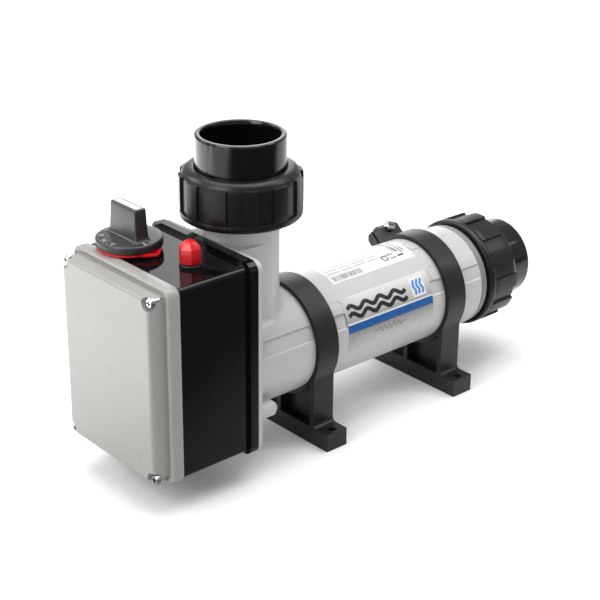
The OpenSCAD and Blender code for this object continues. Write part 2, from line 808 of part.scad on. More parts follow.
module cap_seal() {
    color([0.12, 0.12, 0.12]) translate([reset_x, -reset_y, cap_z - cap_seal_t])
        ring(cap_af / 2 - 0.8, bush_r + fit, cap_seal_t, $fn = 48);
}

module reset_cap() {
    dome_h = 4.2;
    color([0.85, 0.08, 0.08]) translate([reset_x, -reset_y, cap_z]) difference() {
        union() {
            hex(cap_af, cap_h - dome_h);
            translate([0, 0, cap_h - dome_h])
                cylinder(r1 = cap_af / 2 / cos(30), r2 = cap_af / 4, h = dome_h, $fn = 6);
        }
        translate([0, 0, -cut]) cylinder(r = bush_r + fit, h = cap_bore_top - cap_z + cut, $fn = 48);
    }
}

// ---------------------------------------------------------------- wiring inside the box

block_size = [20, 52, 15];
block_z = tube_axis_h + element_plate_h / 2 + 1;
block_x = rear_in_x - block_size[0];
pole_pitch = 10;
poles = [-2, -1, 0, 1, 2];

module terminal_block() {
    color([0.88, 0.88, 0.86]) difference() {
        translate([block_x, -block_size[1] / 2, block_z]) cube(block_size);
        for (p = poles)
            along_x(block_x - cut, p * pole_pitch, block_z + block_size[2] / 2)
                cylinder(r = 2.4, h = 12 + cut, $fn = 32);
        for (p = poles)
            translate([block_x + 5, p * pole_pitch, block_z - cut])
                cylinder(r = 1.8, h = block_size[2] / 2 + cut, $fn = 32);
    }
}

module terminal_screws() {
    color([0.72, 0.58, 0.28]) for (p = poles)
        translate([block_x + 3.5, p * pole_pitch, block_z + block_size[2] / 2]) rotate([0, -90, 0])
            cross_screw(1.6, 7, 2.3, 1.6, $fn = 32);
}

// Insulated leads from the terminal block to the upper ends of the hairpins and to the earth stud
module internal_wires() {
    wire_r = 1.4;
    nut_face_x = element_face_x - insulator_len - link_t - element_nut_t;
    color([0.35, 0.22, 0.12]) for (i = [0:2]) {
        p0 = [block_x + 5, (i - 1) * 2 * pole_pitch, block_z - 0.2];
        p3 = [nut_face_x - 2, element_y[i], tube_axis_h + leg_z[1] + stud_r + wire_r + 0.3];
        wire([p0, p0 - [0, 0, 9], p3 + [-14, 0, 14], p3], wire_r, 12);
    }
    color([0.2, 0.5, 0.15]) {
        p0 = [block_x + 5, pole_pitch, block_z - 0.2];
        p3 = [element_face_x - 9, element_plate_w / 2 - 12, tube_axis_h + 5.6];
        wire([p0, p0 - [0, 0, 12], p3 + [-8, 0, 16], p3], wire_r, 12);
    }
}

// ---------------------------------------------------------------- cable gland

// Stands children, drawn along +Z, out of the box's far side
module at_gland() {
    translate([gland_x, box_w / 2, gland_z]) rotate([-90, 0, 0]) children();
}

module gland_body() {
    color([0.12, 0.12, 0.13]) at_gland() difference() {
        union() {
            translate([0, 0, -box_wall - 6]) cylinder(r = gland_r, h = box_wall + 6.5, $fn = 48);
            hex(gland_hex_af, gland_hex_t);
            translate([0, 0, gland_hex_t - 0.5]) cylinder(r = gland_r, h = gland_thread_out + 0.5, $fn = 48);
        }
        translate([0, 0, -box_wall - 6 - cut])
            cylinder(r = gland_bore_r + 1, h = box_wall + 6 + gland_hex_t + gland_thread_out + 2 * cut, $fn = 48);
    }
}

module gland_lock_nut() {
    color([0.12, 0.12, 0.13]) at_gland() translate([0, 0, -box_wall - 4]) difference() {
        hex(gland_hex_af, 4);
        translate([0, 0, -cut]) cylinder(r = gland_r + fit, h = 4 + 2 * cut, $fn = 48);
    }
}

module gland_grommet() {
    color([0.25, 0.25, 0.25]) at_gland() translate([0, 0, gland_hex_t + 3])
        ring(gland_bore_r + 1 - fit, gland_bore_r - 0.6, gland_thread_out, $fn = 48);
}

module gland_dome_nut() {
    color([0.12, 0.12, 0.13]) at_gland() translate([0, 0, gland_hex_t + 0.3]) difference() {
        union() {
            hex(gland_hex_af, dome_len - 6);
            translate([0, 0, dome_len - 6])
                cylinder(r1 = gland_hex_af / 2, r2 = gland_hex_af / 2 - 3, h = 6, $fn = 48);
        }
        translate([0, 0, -cut]) cylinder(r = gland_r + fit, h = dome_len - 2.5 + cut, $fn = 48);
        cylinder(r = gland_bore_r, h = dome_len + cut, $fn = 48);
    }
}

// ---------------------------------------------------------------- flow switch

module flow_paddle() {
    arm_w = 2 * fork_y - 2 * gap;
    color([0.2, 0.2, 0.22]) translate([0, 0, paddle_z]) difference() {
        union() {
            translate([riser_x, 0, -paddle_t / 2]) cylinder(r = paddle_r, h = paddle_t, $fn = 64);
            translate([paddle_x, -arm_w / 2 + 2, -paddle_t / 2]) cube([riser_x - paddle_x, arm_w - 4, paddle_t]);
            translate([paddle_x, arm_w / 2, 0]) rotate([90, 0, 0]) cylinder(r = 2.6, h = arm_w, $fn = 48);
            translate([paddle_x - magnet_len - 4, -3, -3]) cube([magnet_len + 3, 6, 2]);
        }
        translate([paddle_x, arm_w / 2 + cut, 0]) rotate([90, 0, 0])
            cylinder(r = pin_r + fit, h = arm_w + 2 * cut, $fn = 32);
    }
}

module paddle_pin() {
    color([0.7, 0.7, 0.72]) translate([paddle_x, -fork_y - fork_t, paddle_z]) rotate([-90, 0, 0])
        cylinder(r = pin_r, h = 2 * (fork_y + fork_t), $fn = 32);
}

module paddle_magnet() {
    color([0.3, 0.3, 0.32]) along_x(paddle_x - magnet_len - 3.6, 0, paddle_z - 1 + magnet_r)
        cylinder(r = magnet_r, h = magnet_len, $fn = 32);
}

module reed_switch() {
    color([0.75, 0.85, 0.8]) along_x(element_face_x - reed_len + 2.6, 0, paddle_z)
        cylinder(r = reed_r, h = reed_len - 1, $fn = 32);
}

// ---------------------------------------------------------------- unions

// Union nut along +Z from its open end at z = 0: bored to the thread's diameter, lipped at the far end
module union_nut() {
    shoulder_r = 3.5;
    hole_r = tail_r + slip;
    difference() {
        rotate_extrude() polygon(concat(
            [[hole_r, nut_len], [hole_r, nut_len - nut_lip], [thread_r + fit, nut_len - nut_lip],
                [thread_r + fit, 1], [thread_r + fit + 0.8, 0], [nut_r - 1, 0], [nut_r, 1]],
            [for (a = [0:15:90]) [nut_r - shoulder_r + shoulder_r * cos(a), nut_len - shoulder_r + shoulder_r * sin(a)]]));
        for (i = [0:pad_count - 1])
            rotate(360 * (i + 0.5) / pad_count) translate([nut_r - groove_depth, -groove_w / 2, 5])
                cube([groove_depth + cut, groove_w, nut_len - shoulder_r - 6.5]);
    }
}

// Tailpiece along +Z: flange at the bottom, socket mouth at the top; z = 0 is the nut's open end
module tailpiece() {
    base_z = thread_len + slip;
    difference() {
        union() {
            translate([0, 0, base_z]) cylinder(r = tail_r, h = union_len - base_z - 1);
            translate([0, 0, union_len - 1]) cylinder(r1 = tail_r, r2 = tail_r - 0.8, h = 1);
            translate([0, 0, base_z])
                cylinder(r = tail_flange_r, h = nut_len - nut_lip - base_z - slip);
        }
        translate([0, 0, base_z - cut]) cylinder(r = tail_bore_r, h = union_len);
        translate([0, 0, union_len - socket_depth]) cylinder(r = socket_d / 2, h = socket_depth + cut);
    }
}

// O-ring between the neck and the tailpiece; z = 0 is the nut's open end
module union_o_ring() {
    translate([0, 0, thread_len - o_ring_groove + o_ring_r]) o_ring(union_seal_r, o_ring_r - fit);
}

// Stands children on the riser or on the outlet, with z = 0 at the nut's open end
module on_inlet() {
    translate([riser_x, 0, tube_axis_h + riser_h]) children();
}

module on_outlet() {
    along_x(outlet_nut_x, 0, tube_axis_h) children();
}

module inlet_union_nut() {
    color([0.1, 0.1, 0.11]) on_inlet() union_nut();
}

module inlet_tailpiece() {
    color([0.04, 0.04, 0.045]) on_inlet() tailpiece();
}

module inlet_seal() {
    color([0.1, 0.1, 0.1]) on_inlet() union_o_ring();
}

module outlet_union_nut() {
    color([0.1, 0.1, 0.11]) on_outlet() union_nut();
}

module outlet_tailpiece() {
    color([0.04, 0.04, 0.045]) on_outlet() tailpiece();
}

module outlet_seal() {
    color([0.1, 0.1, 0.1]) on_outlet() union_o_ring();
}

// ---------------------------------------------------------------- clamp feet

// Outline of a clamp, seen along the tube, with the tube's axis at the origin
module clamp_outline() {
    circle(ring_r);
    translate([-leg_span / 2, -tube_axis_h]) square([leg_span, tube_axis_h]);
    translate([-foot_len / 2, -tube_axis_h]) square([foot_len, foot_h]);
    for (side = [0, 1]) mirror([side, 0]) {
        ring_fillet();
        foot_fillet();
    }
    lug_half = lug_t + lug_split / 2;
    lug_end = ring_r + lug_reach;
    rotate(lug_angle) polygon([[0, -lug_half], [lug_end - lug_chamfer, -lug_half],
        [lug_end, -lug_half + lug_chamfer], [lug_end, lug_half - lug_chamfer],
        [lug_end - lug_chamfer, lug_half], [0, lug_half]]);
}

// Concave corner between the ring and the outside of a leg, there while the ring is the wider
module ring_fillet() {
    side = leg_span / 2;
    if (ring_r > side) {
        centre = [side + ring_fillet_r,
            -sqrt(pow(ring_r + ring_fillet_r, 2) - pow(side + ring_fillet_r, 2))];
        touch = centre * ring_r / (ring_r + ring_fillet_r);
        difference() {
            polygon([[side - 1, centre[1]], centre, touch * 0.97, [side - 1, touch[1]]]);
            translate(centre) circle(ring_fillet_r);
        }
    }
}

// Concave corner between the outside of a leg and the top of the foot bar
module foot_fillet() {
    corner = [leg_span / 2, foot_h - tube_axis_h];
    difference() {
        translate(corner - [1, 1]) square(foot_fillet_r + 1);
        translate(corner + [foot_fillet_r, foot_fillet_r]) circle(foot_fillet_r);
    }
}

// Children at the clamp screw, drawn along the screw's axis from the lower lug's underside
module at_clamp_screw() {
    rotate([lug_angle, 0, 0]) translate([0, clamp_screw_dist, 0]) children();
}

// Ring clamp with a foot, centred on the tube's axis
module clamp_foot() {
    pocket_h = tube_axis_h - foot_h;
    pocket_half = leg_span / 2 - leg_t;
    difference() {
        translate([-clamp_w / 2, 0, 0]) rotate([90, 0, 90]) linear_extrude(clamp_w) clamp_outline();
        along_x(-clamp_w) cylinder(r = tube_r + fit, h = 2 * clamp_w);
        for (side = [-1, 1], half = [-1, 1])
            translate([side * (web_t + clamp_w) / 2, half * (pocket_half + leg_t / 2) / 2, 0])
                difference() {
                    translate([0, 0, -pocket_h / 2])
                        cube([clamp_w, pocket_half - leg_t / 2, pocket_h], center = true);
                    translate([-clamp_w, -half * (pocket_half + leg_t / 2) / 2, 0])
                        rotate([0, 90, 0]) cylinder(r = ring_r, h = 2 * clamp_w);
                }
        rotate([lug_angle, 0, 0]) translate([-clamp_w, ring_r - ring_t - cut, -lug_split / 2])
            cube([2 * clamp_w, lug_reach + ring_t + 2 * cut, lug_split]);
        at_clamp_screw() translate([0, 0, -lug_t - cut])
            cylinder(r = clamp_screw_r + fit, h = 2 * lug_t + lug_split + 2 * cut, $fn = 32);
        for (sy = [-1, 1])
            translate([0, sy * hole_pitch_y / 2, -tube_axis_h - cut])
                cylinder(r = foot_hole_d / 2, h = foot_h + 2 * cut, $fn = 48);
    }
}

module clamp_box_end() {
    color([0.1, 0.1, 0.1]) translate([-clamp_x, 0, tube_axis_h]) clamp_foot();
}

module clamp_outlet_end() {
    color([0.1, 0.1, 0.1]) translate([clamp_x, 0, tube_axis_h]) clamp_foot();
}

module clamp_screws() {
    color([0.75, 0.75, 0.76]) for (x = [-clamp_x, clamp_x])
        translate([x, 0, tube_axis_h]) at_clamp_screw() translate([0, 0, lug_t + lug_split / 2])
            cross_screw(clamp_screw_r, 2 * lug_t + lug_split + 5, 4.2, 3, $fn = 48);
}

module clamp_nuts() {
    nut_t = 3.2;
    color([0.75, 0.75, 0.76]) for (x = [-clamp_x, clamp_x])
        translate([x, 0, tube_axis_h]) at_clamp_screw() translate([0, 0, -lug_t - lug_split / 2 - nut_t])
            difference() {
                hex(7, nut_t);
                translate([0, 0, -cut]) cylinder(r = clamp_screw_r + fit, h = nut_t + 2 * cut, $fn = 32);
            }
}

// ---------------------------------------------------------------- labels

// Thin label round the tube between two angles above the horizontal, on the -Y side
module tube_label(x, len, a0, a1) {
    intersection() {
        along_x(x, 0, tube_axis_h) ring(tube_r + label_t, tube_r, len);
        translate([x - cut, 0, tube_axis_h]) rotate([90, 0, 90]) linear_extrude(len + 2 * cut)
            polygon([[0, 0], for (a = [a0, (a0 + a1) / 2, a1]) -2 * tube_r * [cos(a), -sin(a)]]);
    }
}

module rating_label() {
    color([0.9, 0.9, 0.9]) tube_label(-clamp_x + 25, rating_len, 65, 125);
}

module front_label() {
    color([0.7, 0.71, 0.72]) tube_label(-front_len / 2, front_len, -12, 46);
}

heater_body();
box_body();
box_lid();
lid_seal();
lid_screws();
lid_inserts();
box_screws();
element_plate();
element_seal();
heating_element_1();
heating_element_2();
heating_element_3();
element_insulators();
element_studs();
element_nuts();
neutral_link();
earth_stud();
thermostat_pocket();
cutout_pocket();
thermostat_bulb();
cutout_bulb();
thermostat_capillary();
cutout_capillary();
thermostat_body();
thermostat_screws();
thermostat_spindle();
limit_ring();
knob();
knob_insert();
cutout_body();
reset_bush_nut();
reset_button();
cap_seal();
reset_cap();
terminal_block();
terminal_screws();
internal_wires();
gland_body();
gland_lock_nut();
gland_grommet();
gland_dome_nut();
flow_paddle();
paddle_pin();
paddle_magnet();
reed_switch();
inlet_union_nut();
inlet_tailpiece();
inlet_seal();
outlet_union_nut();
outlet_tailpiece();
outlet_seal();
clamp_box_end();
clamp_outlet_end();
clamp_screws();
clamp_nuts();
rating_label();
front_label();
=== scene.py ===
import json
import math
import random

import bmesh
import bpy
from mathutils import Matrix, Vector


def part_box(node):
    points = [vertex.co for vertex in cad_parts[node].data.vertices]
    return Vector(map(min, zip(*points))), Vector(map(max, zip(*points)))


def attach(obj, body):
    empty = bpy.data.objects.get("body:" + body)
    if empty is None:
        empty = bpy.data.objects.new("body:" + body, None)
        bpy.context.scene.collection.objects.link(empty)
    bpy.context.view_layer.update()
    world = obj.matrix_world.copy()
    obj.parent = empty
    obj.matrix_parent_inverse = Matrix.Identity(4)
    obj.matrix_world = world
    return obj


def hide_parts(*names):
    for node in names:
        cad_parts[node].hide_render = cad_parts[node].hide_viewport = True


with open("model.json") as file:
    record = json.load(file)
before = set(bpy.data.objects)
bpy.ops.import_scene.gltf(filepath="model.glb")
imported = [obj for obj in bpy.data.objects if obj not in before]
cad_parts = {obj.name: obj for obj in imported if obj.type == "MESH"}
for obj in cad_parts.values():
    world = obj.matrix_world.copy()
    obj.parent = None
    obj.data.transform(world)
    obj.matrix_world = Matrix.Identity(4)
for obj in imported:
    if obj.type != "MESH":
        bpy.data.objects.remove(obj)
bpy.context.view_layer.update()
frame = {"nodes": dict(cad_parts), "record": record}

MM = 0.001
NODES = frame["nodes"]


# ------------------------------------------------------------------ places taken from the frame
def spans(node):
    """Lowest and highest corner of a node, in millimetres."""
    low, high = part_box(node)
    return low / MM, high / MM


# ------------------------------------------------------------------ camera
CAMERA_AT = Vector((-669.9, -696.6, 507.8)) * MM
CAMERA_AZIMUTH = math.radians(-41.6)
CAMERA_ELEVATION = math.radians(24.2)
CAMERA_ROLL = math.radians(0.6)
CAMERA_SENSOR = 36
CAMERA_LENS = 91.2
CAMERA_CLIP = (0.01, 30)

camera = bpy.data.objects.new("camera", bpy.data.cameras.new("camera"))
bpy.context.scene.collection.objects.link(camera)
back = Vector((
    math.sin(CAMERA_AZIMUTH) * math.cos(CAMERA_ELEVATION),
    -math.cos(CAMERA_AZIMUTH) * math.cos(CAMERA_ELEVATION),
    math.sin(CAMERA_ELEVATION),
))
camera.rotation_mode = "QUATERNION"
turn = (-back).to_track_quat("-Z", "Y")
roll = Matrix.Rotation(CAMERA_ROLL, 4, "Z").to_quaternion()
camera.rotation_quaternion = turn @ roll
camera.location = CAMERA_AT
camera.data.sensor_width = CAMERA_SENSOR
camera.data.lens = CAMERA_LENS
camera.data.clip_start, camera.data.clip_end = CAMERA_CLIP
bpy.context.scene.camera = camera
bpy.context.scene.view_settings.view_transform = "Standard"


# ------------------------------------------------------------------ materials
class Graph:
    """A new material, with helpers that add and link its shader nodes."""

    def __init__(self, name):
        self.material = bpy.data.materials.new(name)
        self.material.use_nodes = True
        self.tree = self.material.node_tree
        self.tree.nodes.clear()
        self.shader = self.add("ShaderNodeBsdfPrincipled")
        output = self.add("ShaderNodeOutputMaterial")
        self.link(self.shader.outputs[0], output.inputs[0])
        self.place = self.add("ShaderNodeTexCoord").outputs["Object"]

    def add(self, kind, **values):
        node = self.tree.nodes.new(kind)
        for key, value in values.items():
            setattr(node, key, value)
        return node

    def link(self, a, b):
        self.tree.links.new(a, b)

    def give(self, value, socket):
        """Links an output to a socket, or sets the socket to a number or a colour."""
        if isinstance(value, tuple):
            socket.default_value = (*value, 1)
        elif isinstance(value, (int, float)):
            socket.default_value = value
        else:
            self.link(value, socket)

    def maths(self, operation, a, b=0.0):
        node = self.add("ShaderNodeMath", operation=operation)
        self.give(a, node.inputs[0])
        self.give(b, node.inputs[1])
        return node.outputs[0]

    def axis(self, index):
        """One coordinate of the shaded point, in metres: 0 for X, 1 for Y, 2 for Z."""
        node = self.add("ShaderNodeSeparateXYZ")
        self.link(self.place, node.inputs[0])
        return node.outputs[index]

    def noise(self, scale, detail=4, rough=0.55, stretch=(1, 1, 1)):
        mapping = self.add("ShaderNodeMapping")
        mapping.inputs["Scale"].default_value = stretch
        self.link(self.place, mapping.inputs[0])
        node = self.add("ShaderNodeTexNoise")
        node.inputs["Scale"].default_value = scale
        node.inputs["Detail"].default_value = detail
        node.inputs["Roughness"].default_value = rough
        self.link(mapping.outputs[0], node.inputs["Vector"])
        return node.outputs[0]

    def ramp(self, value, low, high, start=0.3, end=0.7):
        node = self.add("ShaderNodeMapRange")
        node.inputs["From Min"].default_value = start
        node.inputs["From Max"].default_value = end
        node.inputs["To Min"].default_value = low
        node.inputs["To Max"].default_value = high
        self.link(value, node.inputs["Value"])
        return node.outputs[0]

    def colours(self, value, stops):
        node = self.add("ShaderNodeValToRGB")
        band = node.color_ramp
        while len(band.elements) < len(stops):
            band.elements.new(0.5)
        for element, (at, colour) in zip(band.elements, stops):
            element.position = at
            element.color = (*colour, 1)
        self.link(value, node.inputs[0])
        return node.outputs[0]

    def mix(self, factor, a, b):
        node = self.add("ShaderNodeMix", data_type="RGBA")
        for socket, value in ((node.inputs[0], factor), (node.inputs[6], a), (node.inputs[7], b)):
            self.give(value, socket)
        return node.outputs[2]

    def bump(self, value, strength, distance, before=None):
        node = self.add("ShaderNodeBump")
        node.inputs["Strength"].default_value = strength
        node.inputs["Distance"].default_value = distance
        self.link(value, node.inputs["Height"])
        if before is not None:
            self.link(before, node.inputs["Normal"])
        return node.outputs[0]


def shade(colour, amount):
    """A colour made darker or lighter."""
    return tuple(min(1.0, max(0.0, c * amount)) for c in colour)


def plastic_graph(name, colour, rough, vary=0.05, rough_vary=0.06, grain=0.25, grain_size=0.5, wave=0.15,
                  wear=0.12, coat=0.0, specular=0.5):
    """Moulded plastic: colour drift, fine speckle, grain and sink waves in the bump, paler worn edges."""
    g = Graph(name)
    drift = g.noise(22, 3)
    speck = g.noise(450 / grain_size, 2)
    base = g.colours(drift, [(0.3, shade(colour, 1 - vary)), (0.7, shade(colour, 1 + vary))])
    base = g.mix(g.ramp(speck, 0.0, 0.22, 0.42, 0.62), base, shade(colour, 1 - 2.2 * vary))
    if wear:
        edge = g.add("ShaderNodeNewGeometry").outputs["Pointiness"]
        scratch = g.ramp(g.noise(240, 5), 0.35, 1.0)
        worn = g.maths("MULTIPLY", g.ramp(edge, 0, wear, 0.52, 0.62), scratch)
        base = g.mix(worn, base, tuple(min(1, c * 1.25 + 0.05) for c in colour))
    g.link(base, g.shader.inputs["Base Color"])
    smudge = g.noise(45, 5, 0.6)
    g.link(g.ramp(smudge, rough - rough_vary, rough + rough_vary), g.shader.inputs["Roughness"])
    g.shader.inputs["Specular IOR Level"].default_value = specular
    if coat:
        g.shader.inputs["Coat Weight"].default_value = coat
        g.shader.inputs["Coat Roughness"].default_value = 0.06
    normal = g.bump(g.noise(9, 2), wave, 0.0006)
    normal = g.bump(g.noise(700 / grain_size, 3), grain, 0.00006, normal)
    g.link(normal, g.shader.inputs["Normal"])
    return g, base


def plastic(name, colour, rough, **looks):
    g, _ = plastic_graph(name, colour, rough, **looks)
    return g.material


def metal(name, colour, rough, brushed=False, stretch=(1, 1, 1), vary=0.06):
    """Metal with tone and roughness that vary, stretched along a brushed piece."""
    g = Graph(name)
    tone = g.noise(160, 5, 0.6, stretch)
    base = g.colours(tone, [(0.3, shade(colour, 1 - vary)), (0.7, shade(colour, 1 + vary))])
    g.link(base, g.shader.inputs["Base Color"])
    g.shader.inputs["Metallic"].default_value = 1.0
    g.link(g.ramp(g.noise(320, 4, 0.6, stretch), rough * 0.7, rough * 1.3), g.shader.inputs["Roughness"])
    fine = g.noise(900 if brushed else 1800, 2, 0.5, stretch)
    g.link(g.bump(fine, 0.12, 0.00003), g.shader.inputs["Normal"])
    return g.material


GREY = (0.415, 0.413, 0.41)
LID_GREY = (0.245, 0.242, 0.231)


STRIP_TOP_Z, STRIP_FOOT_Z = 0.0871, 0.0779
STRIP_ENDS = (-0.125, 0.0895)


def line_at(g, height, half, soft):
    """1 on a thin line along the labels' side of the main tube at a height in metres, 0 elsewhere."""
    away = g.maths("ABSOLUTE", g.maths("SUBTRACT", g.axis(2), height))
    line = g.maths("MULTIPLY", g.ramp(away, 0, 1, half + soft, half), g.ramp(g.axis(1), 0, 1, -0.005, -0.01))
    first, last = STRIP_ENDS
    begun = g.ramp(g.axis(0), 0, 1, first, first + 0.001)
    ended = g.ramp(g.axis(0), 0, 1, last, last - 0.001)
    return g.maths("MULTIPLY", line, g.maths("MULTIPLY", begun, ended))


def grey_body():
    """Moulded grey body, with a painted shadow line and a painted highlight line along the strip's two
    edges.
    """
    g, base = plastic_graph("grey_body", GREY, 0.36, vary=0.025, grain=0.2, wave=0.05, wear=0.1)
    # Painted shadow: a dark line along the strip's upper edge.
    base = g.mix(line_at(g, STRIP_TOP_Z, 0.00016, 0.00022), base, (0.15, 0.15, 0.15))
    # Painted highlight: a pale line along the strip's lower edge.
    base = g.mix(line_at(g, STRIP_FOOT_Z, 0.00014, 0.0003), base, (0.68, 0.68, 0.67))
    g.link(base, g.shader.inputs["Base Color"])
    return g.material


def silver_label():
    """Metallic label foil: dark at the stripe and fading to white up and down the tube."""
    g = Graph("label_silver")
    height = g.ramp(g.axis(2), 0, 1, 0.058, 0.096)
    stops = ((0.05, 0.40), (0.26, 0.29), (0.39, 0.16), (0.55, 0.22), (0.68, 0.36), (0.84, 0.45),
             (0.97, 0.50))
    base = g.colours(height, [(at, (v, v, v * 0.985)) for at, v in stops])
    left = g.ramp(g.axis(0), 0.35, 0.0, -0.038, -0.026)
    base = g.mix(left, base, (0.20, 0.20, 0.198))
    flake = g.noise(2600, 2)
    base = g.mix(g.ramp(flake, 0.0, 0.18, 0.4, 0.6), base, (0.62, 0.62, 0.61))
    g.link(base, g.shader.inputs["Base Color"])
    g.link(g.ramp(g.noise(60, 4), 0.24, 0.34), g.shader.inputs["Roughness"])
    g.link(g.bump(flake, 0.05, 0.00003), g.shader.inputs["Normal"])
    return g.material


FILM = {"grain": 0.04, "wave": 0.03, "wear": 0}

MATERIALS = {
    "grey_body": grey_body(),
    # Darker copy of the body grey, used as painted shade on the band at the tube's end.
    "collar_painted_shade": plastic("collar_painted_shade", (0.17, 0.17, 0.17), 0.42, vary=0.05, grain=0.3, wear=0.0),
    "lid_grey": plastic("lid_grey", LID_GREY, 0.32, vary=0.02, grain=0.12, wave=0.05, wear=0.1),
    "gloss_black_box": plastic("gloss_black_box", (0.0035, 0.0027, 0.0029), 0.07, vary=0.1, rough_vary=0.03,
                               grain=0.03, wave=0.03, wear=0.02, specular=0.26),
    "knob_grey": plastic("knob_grey", (0.021, 0.0205, 0.0205), 0.34, vary=0.08, grain=0.35, wear=0.1),
    "switch_black": plastic("switch_black", (0.010, 0.010, 0.011), 0.42, grain=0.3),
    "limit_red": plastic("limit_red", (0.62, 0.006, 0.010), 0.28, vary=0.06, grain=0.15, wear=0.05),
    "cap_red": plastic("cap_red", (0.50, 0.003, 0.008), 0.24, vary=0.08, grain=0.12, wear=0.05),
    "insert_white": plastic("insert_white", (0.50, 0.50, 0.49), 0.38, vary=0.02, grain=0.1),
    "nut_black": plastic("nut_black", (0.0065, 0.006, 0.006), 0.32, vary=0.12, grain=0.4, wear=0.08,
                         specular=0.34),
    "socket_black": plastic("socket_black", (0.0028, 0.0026, 0.0027), 0.12, vary=0.1, rough_vary=0.04,
                            grain=0.05, wave=0.05, wear=0.04, specular=0.45),
    "clamp_black": plastic("clamp_black", (0.0100, 0.0090, 0.0086), 0.38, vary=0.1, grain=0.5, wear=0.10,
                           specular=0.32),
    "gland_black": plastic("gland_black", (0.010, 0.010, 0.0105), 0.36, vary=0.08, grain=0.3),
    "gasket": plastic("gasket", (0.010, 0.010, 0.010), 0.62, vary=0.1, grain=0.3),
    "switch_body": plastic("switch_body", (0.62, 0.58, 0.48), 0.45, vary=0.04, grain=0.2),
    "ceramic": plastic("ceramic", (0.80, 0.77, 0.68), 0.4, vary=0.03, grain=0.4, grain_size=1.0),
    "wire_sleeve": plastic("wire_sleeve", (0.12, 0.05, 0.022), 0.42, vary=0.06, grain=0.1),
    "paddle_plastic": plastic("paddle_plastic", (0.03, 0.03, 0.034), 0.4, grain=0.2),
    "label_white": plastic("label_white", (0.60, 0.60, 0.597), 0.3, vary=0.01, **FILM),
    "label_silver": silver_label(),
    "label_blue": plastic("label_blue", (0.004, 0.075, 0.27), 0.3, vary=0.03, **FILM),
    "label_sky": plastic("label_sky", (0.05, 0.19, 0.50), 0.3, vary=0.03, **FILM),
    "print_black": plastic("print_black", (0.006, 0.006, 0.0065), 0.32, **FILM),
    "print_grey": plastic("print_grey", (0.15, 0.15, 0.155), 0.34, **FILM),
    "magnet": metal("magnet", (0.25, 0.25, 0.26), 0.4),
    "chrome_screw": metal("chrome_screw", (0.42, 0.42, 0.415), 0.12),
    "steel_screw": metal("steel_screw", (0.55, 0.55, 0.56), 0.3),
    "stainless": metal("stainless", (0.55, 0.55, 0.54), 0.32, True, (1, 14, 14)),
    "element_sheath": metal("element_sheath", (0.22, 0.22, 0.20), 0.5, True, (1, 9, 9), 0.16),
    "brass": metal("brass", (0.72, 0.52, 0.22), 0.3),
    "copper": metal("copper", (0.76, 0.42, 0.28), 0.3),
    "reed_glass": plastic("reed_glass", (0.42, 0.50, 0.46), 0.12, vary=0.03, grain=0.02, wear=0, coat=0.5),
}

for entry in frame["record"]["subparts"]:
    if entry["node"] in NODES:
        node = NODES[entry["node"]]
        if not node.data.materials:
            node.data.materials.append(MATERIALS[entry["material_slot"]])
        for slot in node.material_slots:
            slot.material = MATERIALS[entry["material_slot"]]


# ------------------------------------------------------------------ stage and light
def add_object(name, data):
    obj = bpy.data.objects.new(name, data)
    bpy.context.scene.collection.objects.link(obj)
    return obj


SWEEP_REACH, SWEEP_RISE, SWEEP_BEND = 3.2, 2.6, 0.9
SWEEP_HALF_WIDTH = 4.5
IN_FRONT = (-0.45, -0.89, 0)
BEHIND_LEFT = (-0.59, 0.81, 0)


def floor_with_painted_reflections():
    """Pale floor paint with painted reflections: glossy rays see it dark in front and glowing bright behind
    on the left, a glow from no lamp.
    """
    g = Graph("floor_with_painted_reflections")

    def toward(direction, low, high):
        dot = g.add("ShaderNodeVectorMath", operation="DOT_PRODUCT")
        g.link(g.place, dot.inputs[0])
        dot.inputs[1].default_value = direction
        return g.ramp(dot.outputs["Value"], 0, 1, low, high)

    tone = g.colours(g.noise(3, 3), [(0.3, (0.81, 0.81, 0.805)), (0.7, (0.83, 0.83, 0.825))])
    mirrored = g.add("ShaderNodeLightPath").outputs["Is Glossy Ray"]
    # Painted reflection: the floor turns dark in front, for glossy rays only.
    painted_dark_reflection = g.maths("MULTIPLY", mirrored, toward(IN_FRONT, 0.02, 0.2))
    g.link(g.mix(painted_dark_reflection, tone, (0.07, 0.068, 0.068)), g.shader.inputs["Base Color"])
    # Painted reflection: a glowing area behind on the left, seen by glossy rays only.
    painted_glow_area = g.maths("MULTIPLY", toward(BEHIND_LEFT, 0.16, 0.34), toward(BEHIND_LEFT, 1.5, 1.0))
    glow = g.maths("MULTIPLY", g.maths("MULTIPLY", mirrored, painted_glow_area), 1.7)
    g.shader.inputs["Emission Color"].default_value = (1, 1, 1, 1)
    g.link(glow, g.shader.inputs["Emission Strength"])
    g.shader.inputs["Roughness"].default_value = 0.9
    g.shader.inputs["Specular IOR Level"].default_value = 0.1
    return g.material


def make_stage():
    """Floor that bends up into a backdrop behind the object, seen from the camera."""
    steps = 16
    profile = [(-SWEEP_REACH, 0.0)]
    for k in range(steps + 1):
        a = math.pi / 2 * k / steps
        y = SWEEP_REACH - SWEEP_BEND + SWEEP_BEND * math.sin(a)
        profile.append((y, SWEEP_BEND - SWEEP_BEND * math.cos(a)))
    profile.append((SWEEP_REACH, SWEEP_RISE))
    bm = bmesh.new()
    rows = [[bm.verts.new((s * SWEEP_HALF_WIDTH, y, z)) for y, z in profile] for s in (-1, 1)]
    for k in range(len(profile) - 1):
        face = bm.faces.new((rows[0][k], rows[1][k], rows[1][k + 1], rows[0][k + 1]))
        face.smooth = True
    bmesh.ops.rotate(bm, verts=bm.verts, cent=(0, 0, 0), matrix=Matrix.Rotation(CAMERA_AZIMUTH, 3, "Z"))
    mesh = bpy.data.meshes.new("floor")
    bm.to_mesh(mesh)
    bm.free()
    floor = add_object("floor", mesh)
    floor.data.materials.append(floor_with_painted_reflections())


LIGHTS_AIM = Vector((-0.03, 0.0, 0.09))
WORLD_STRENGTH = 0.5


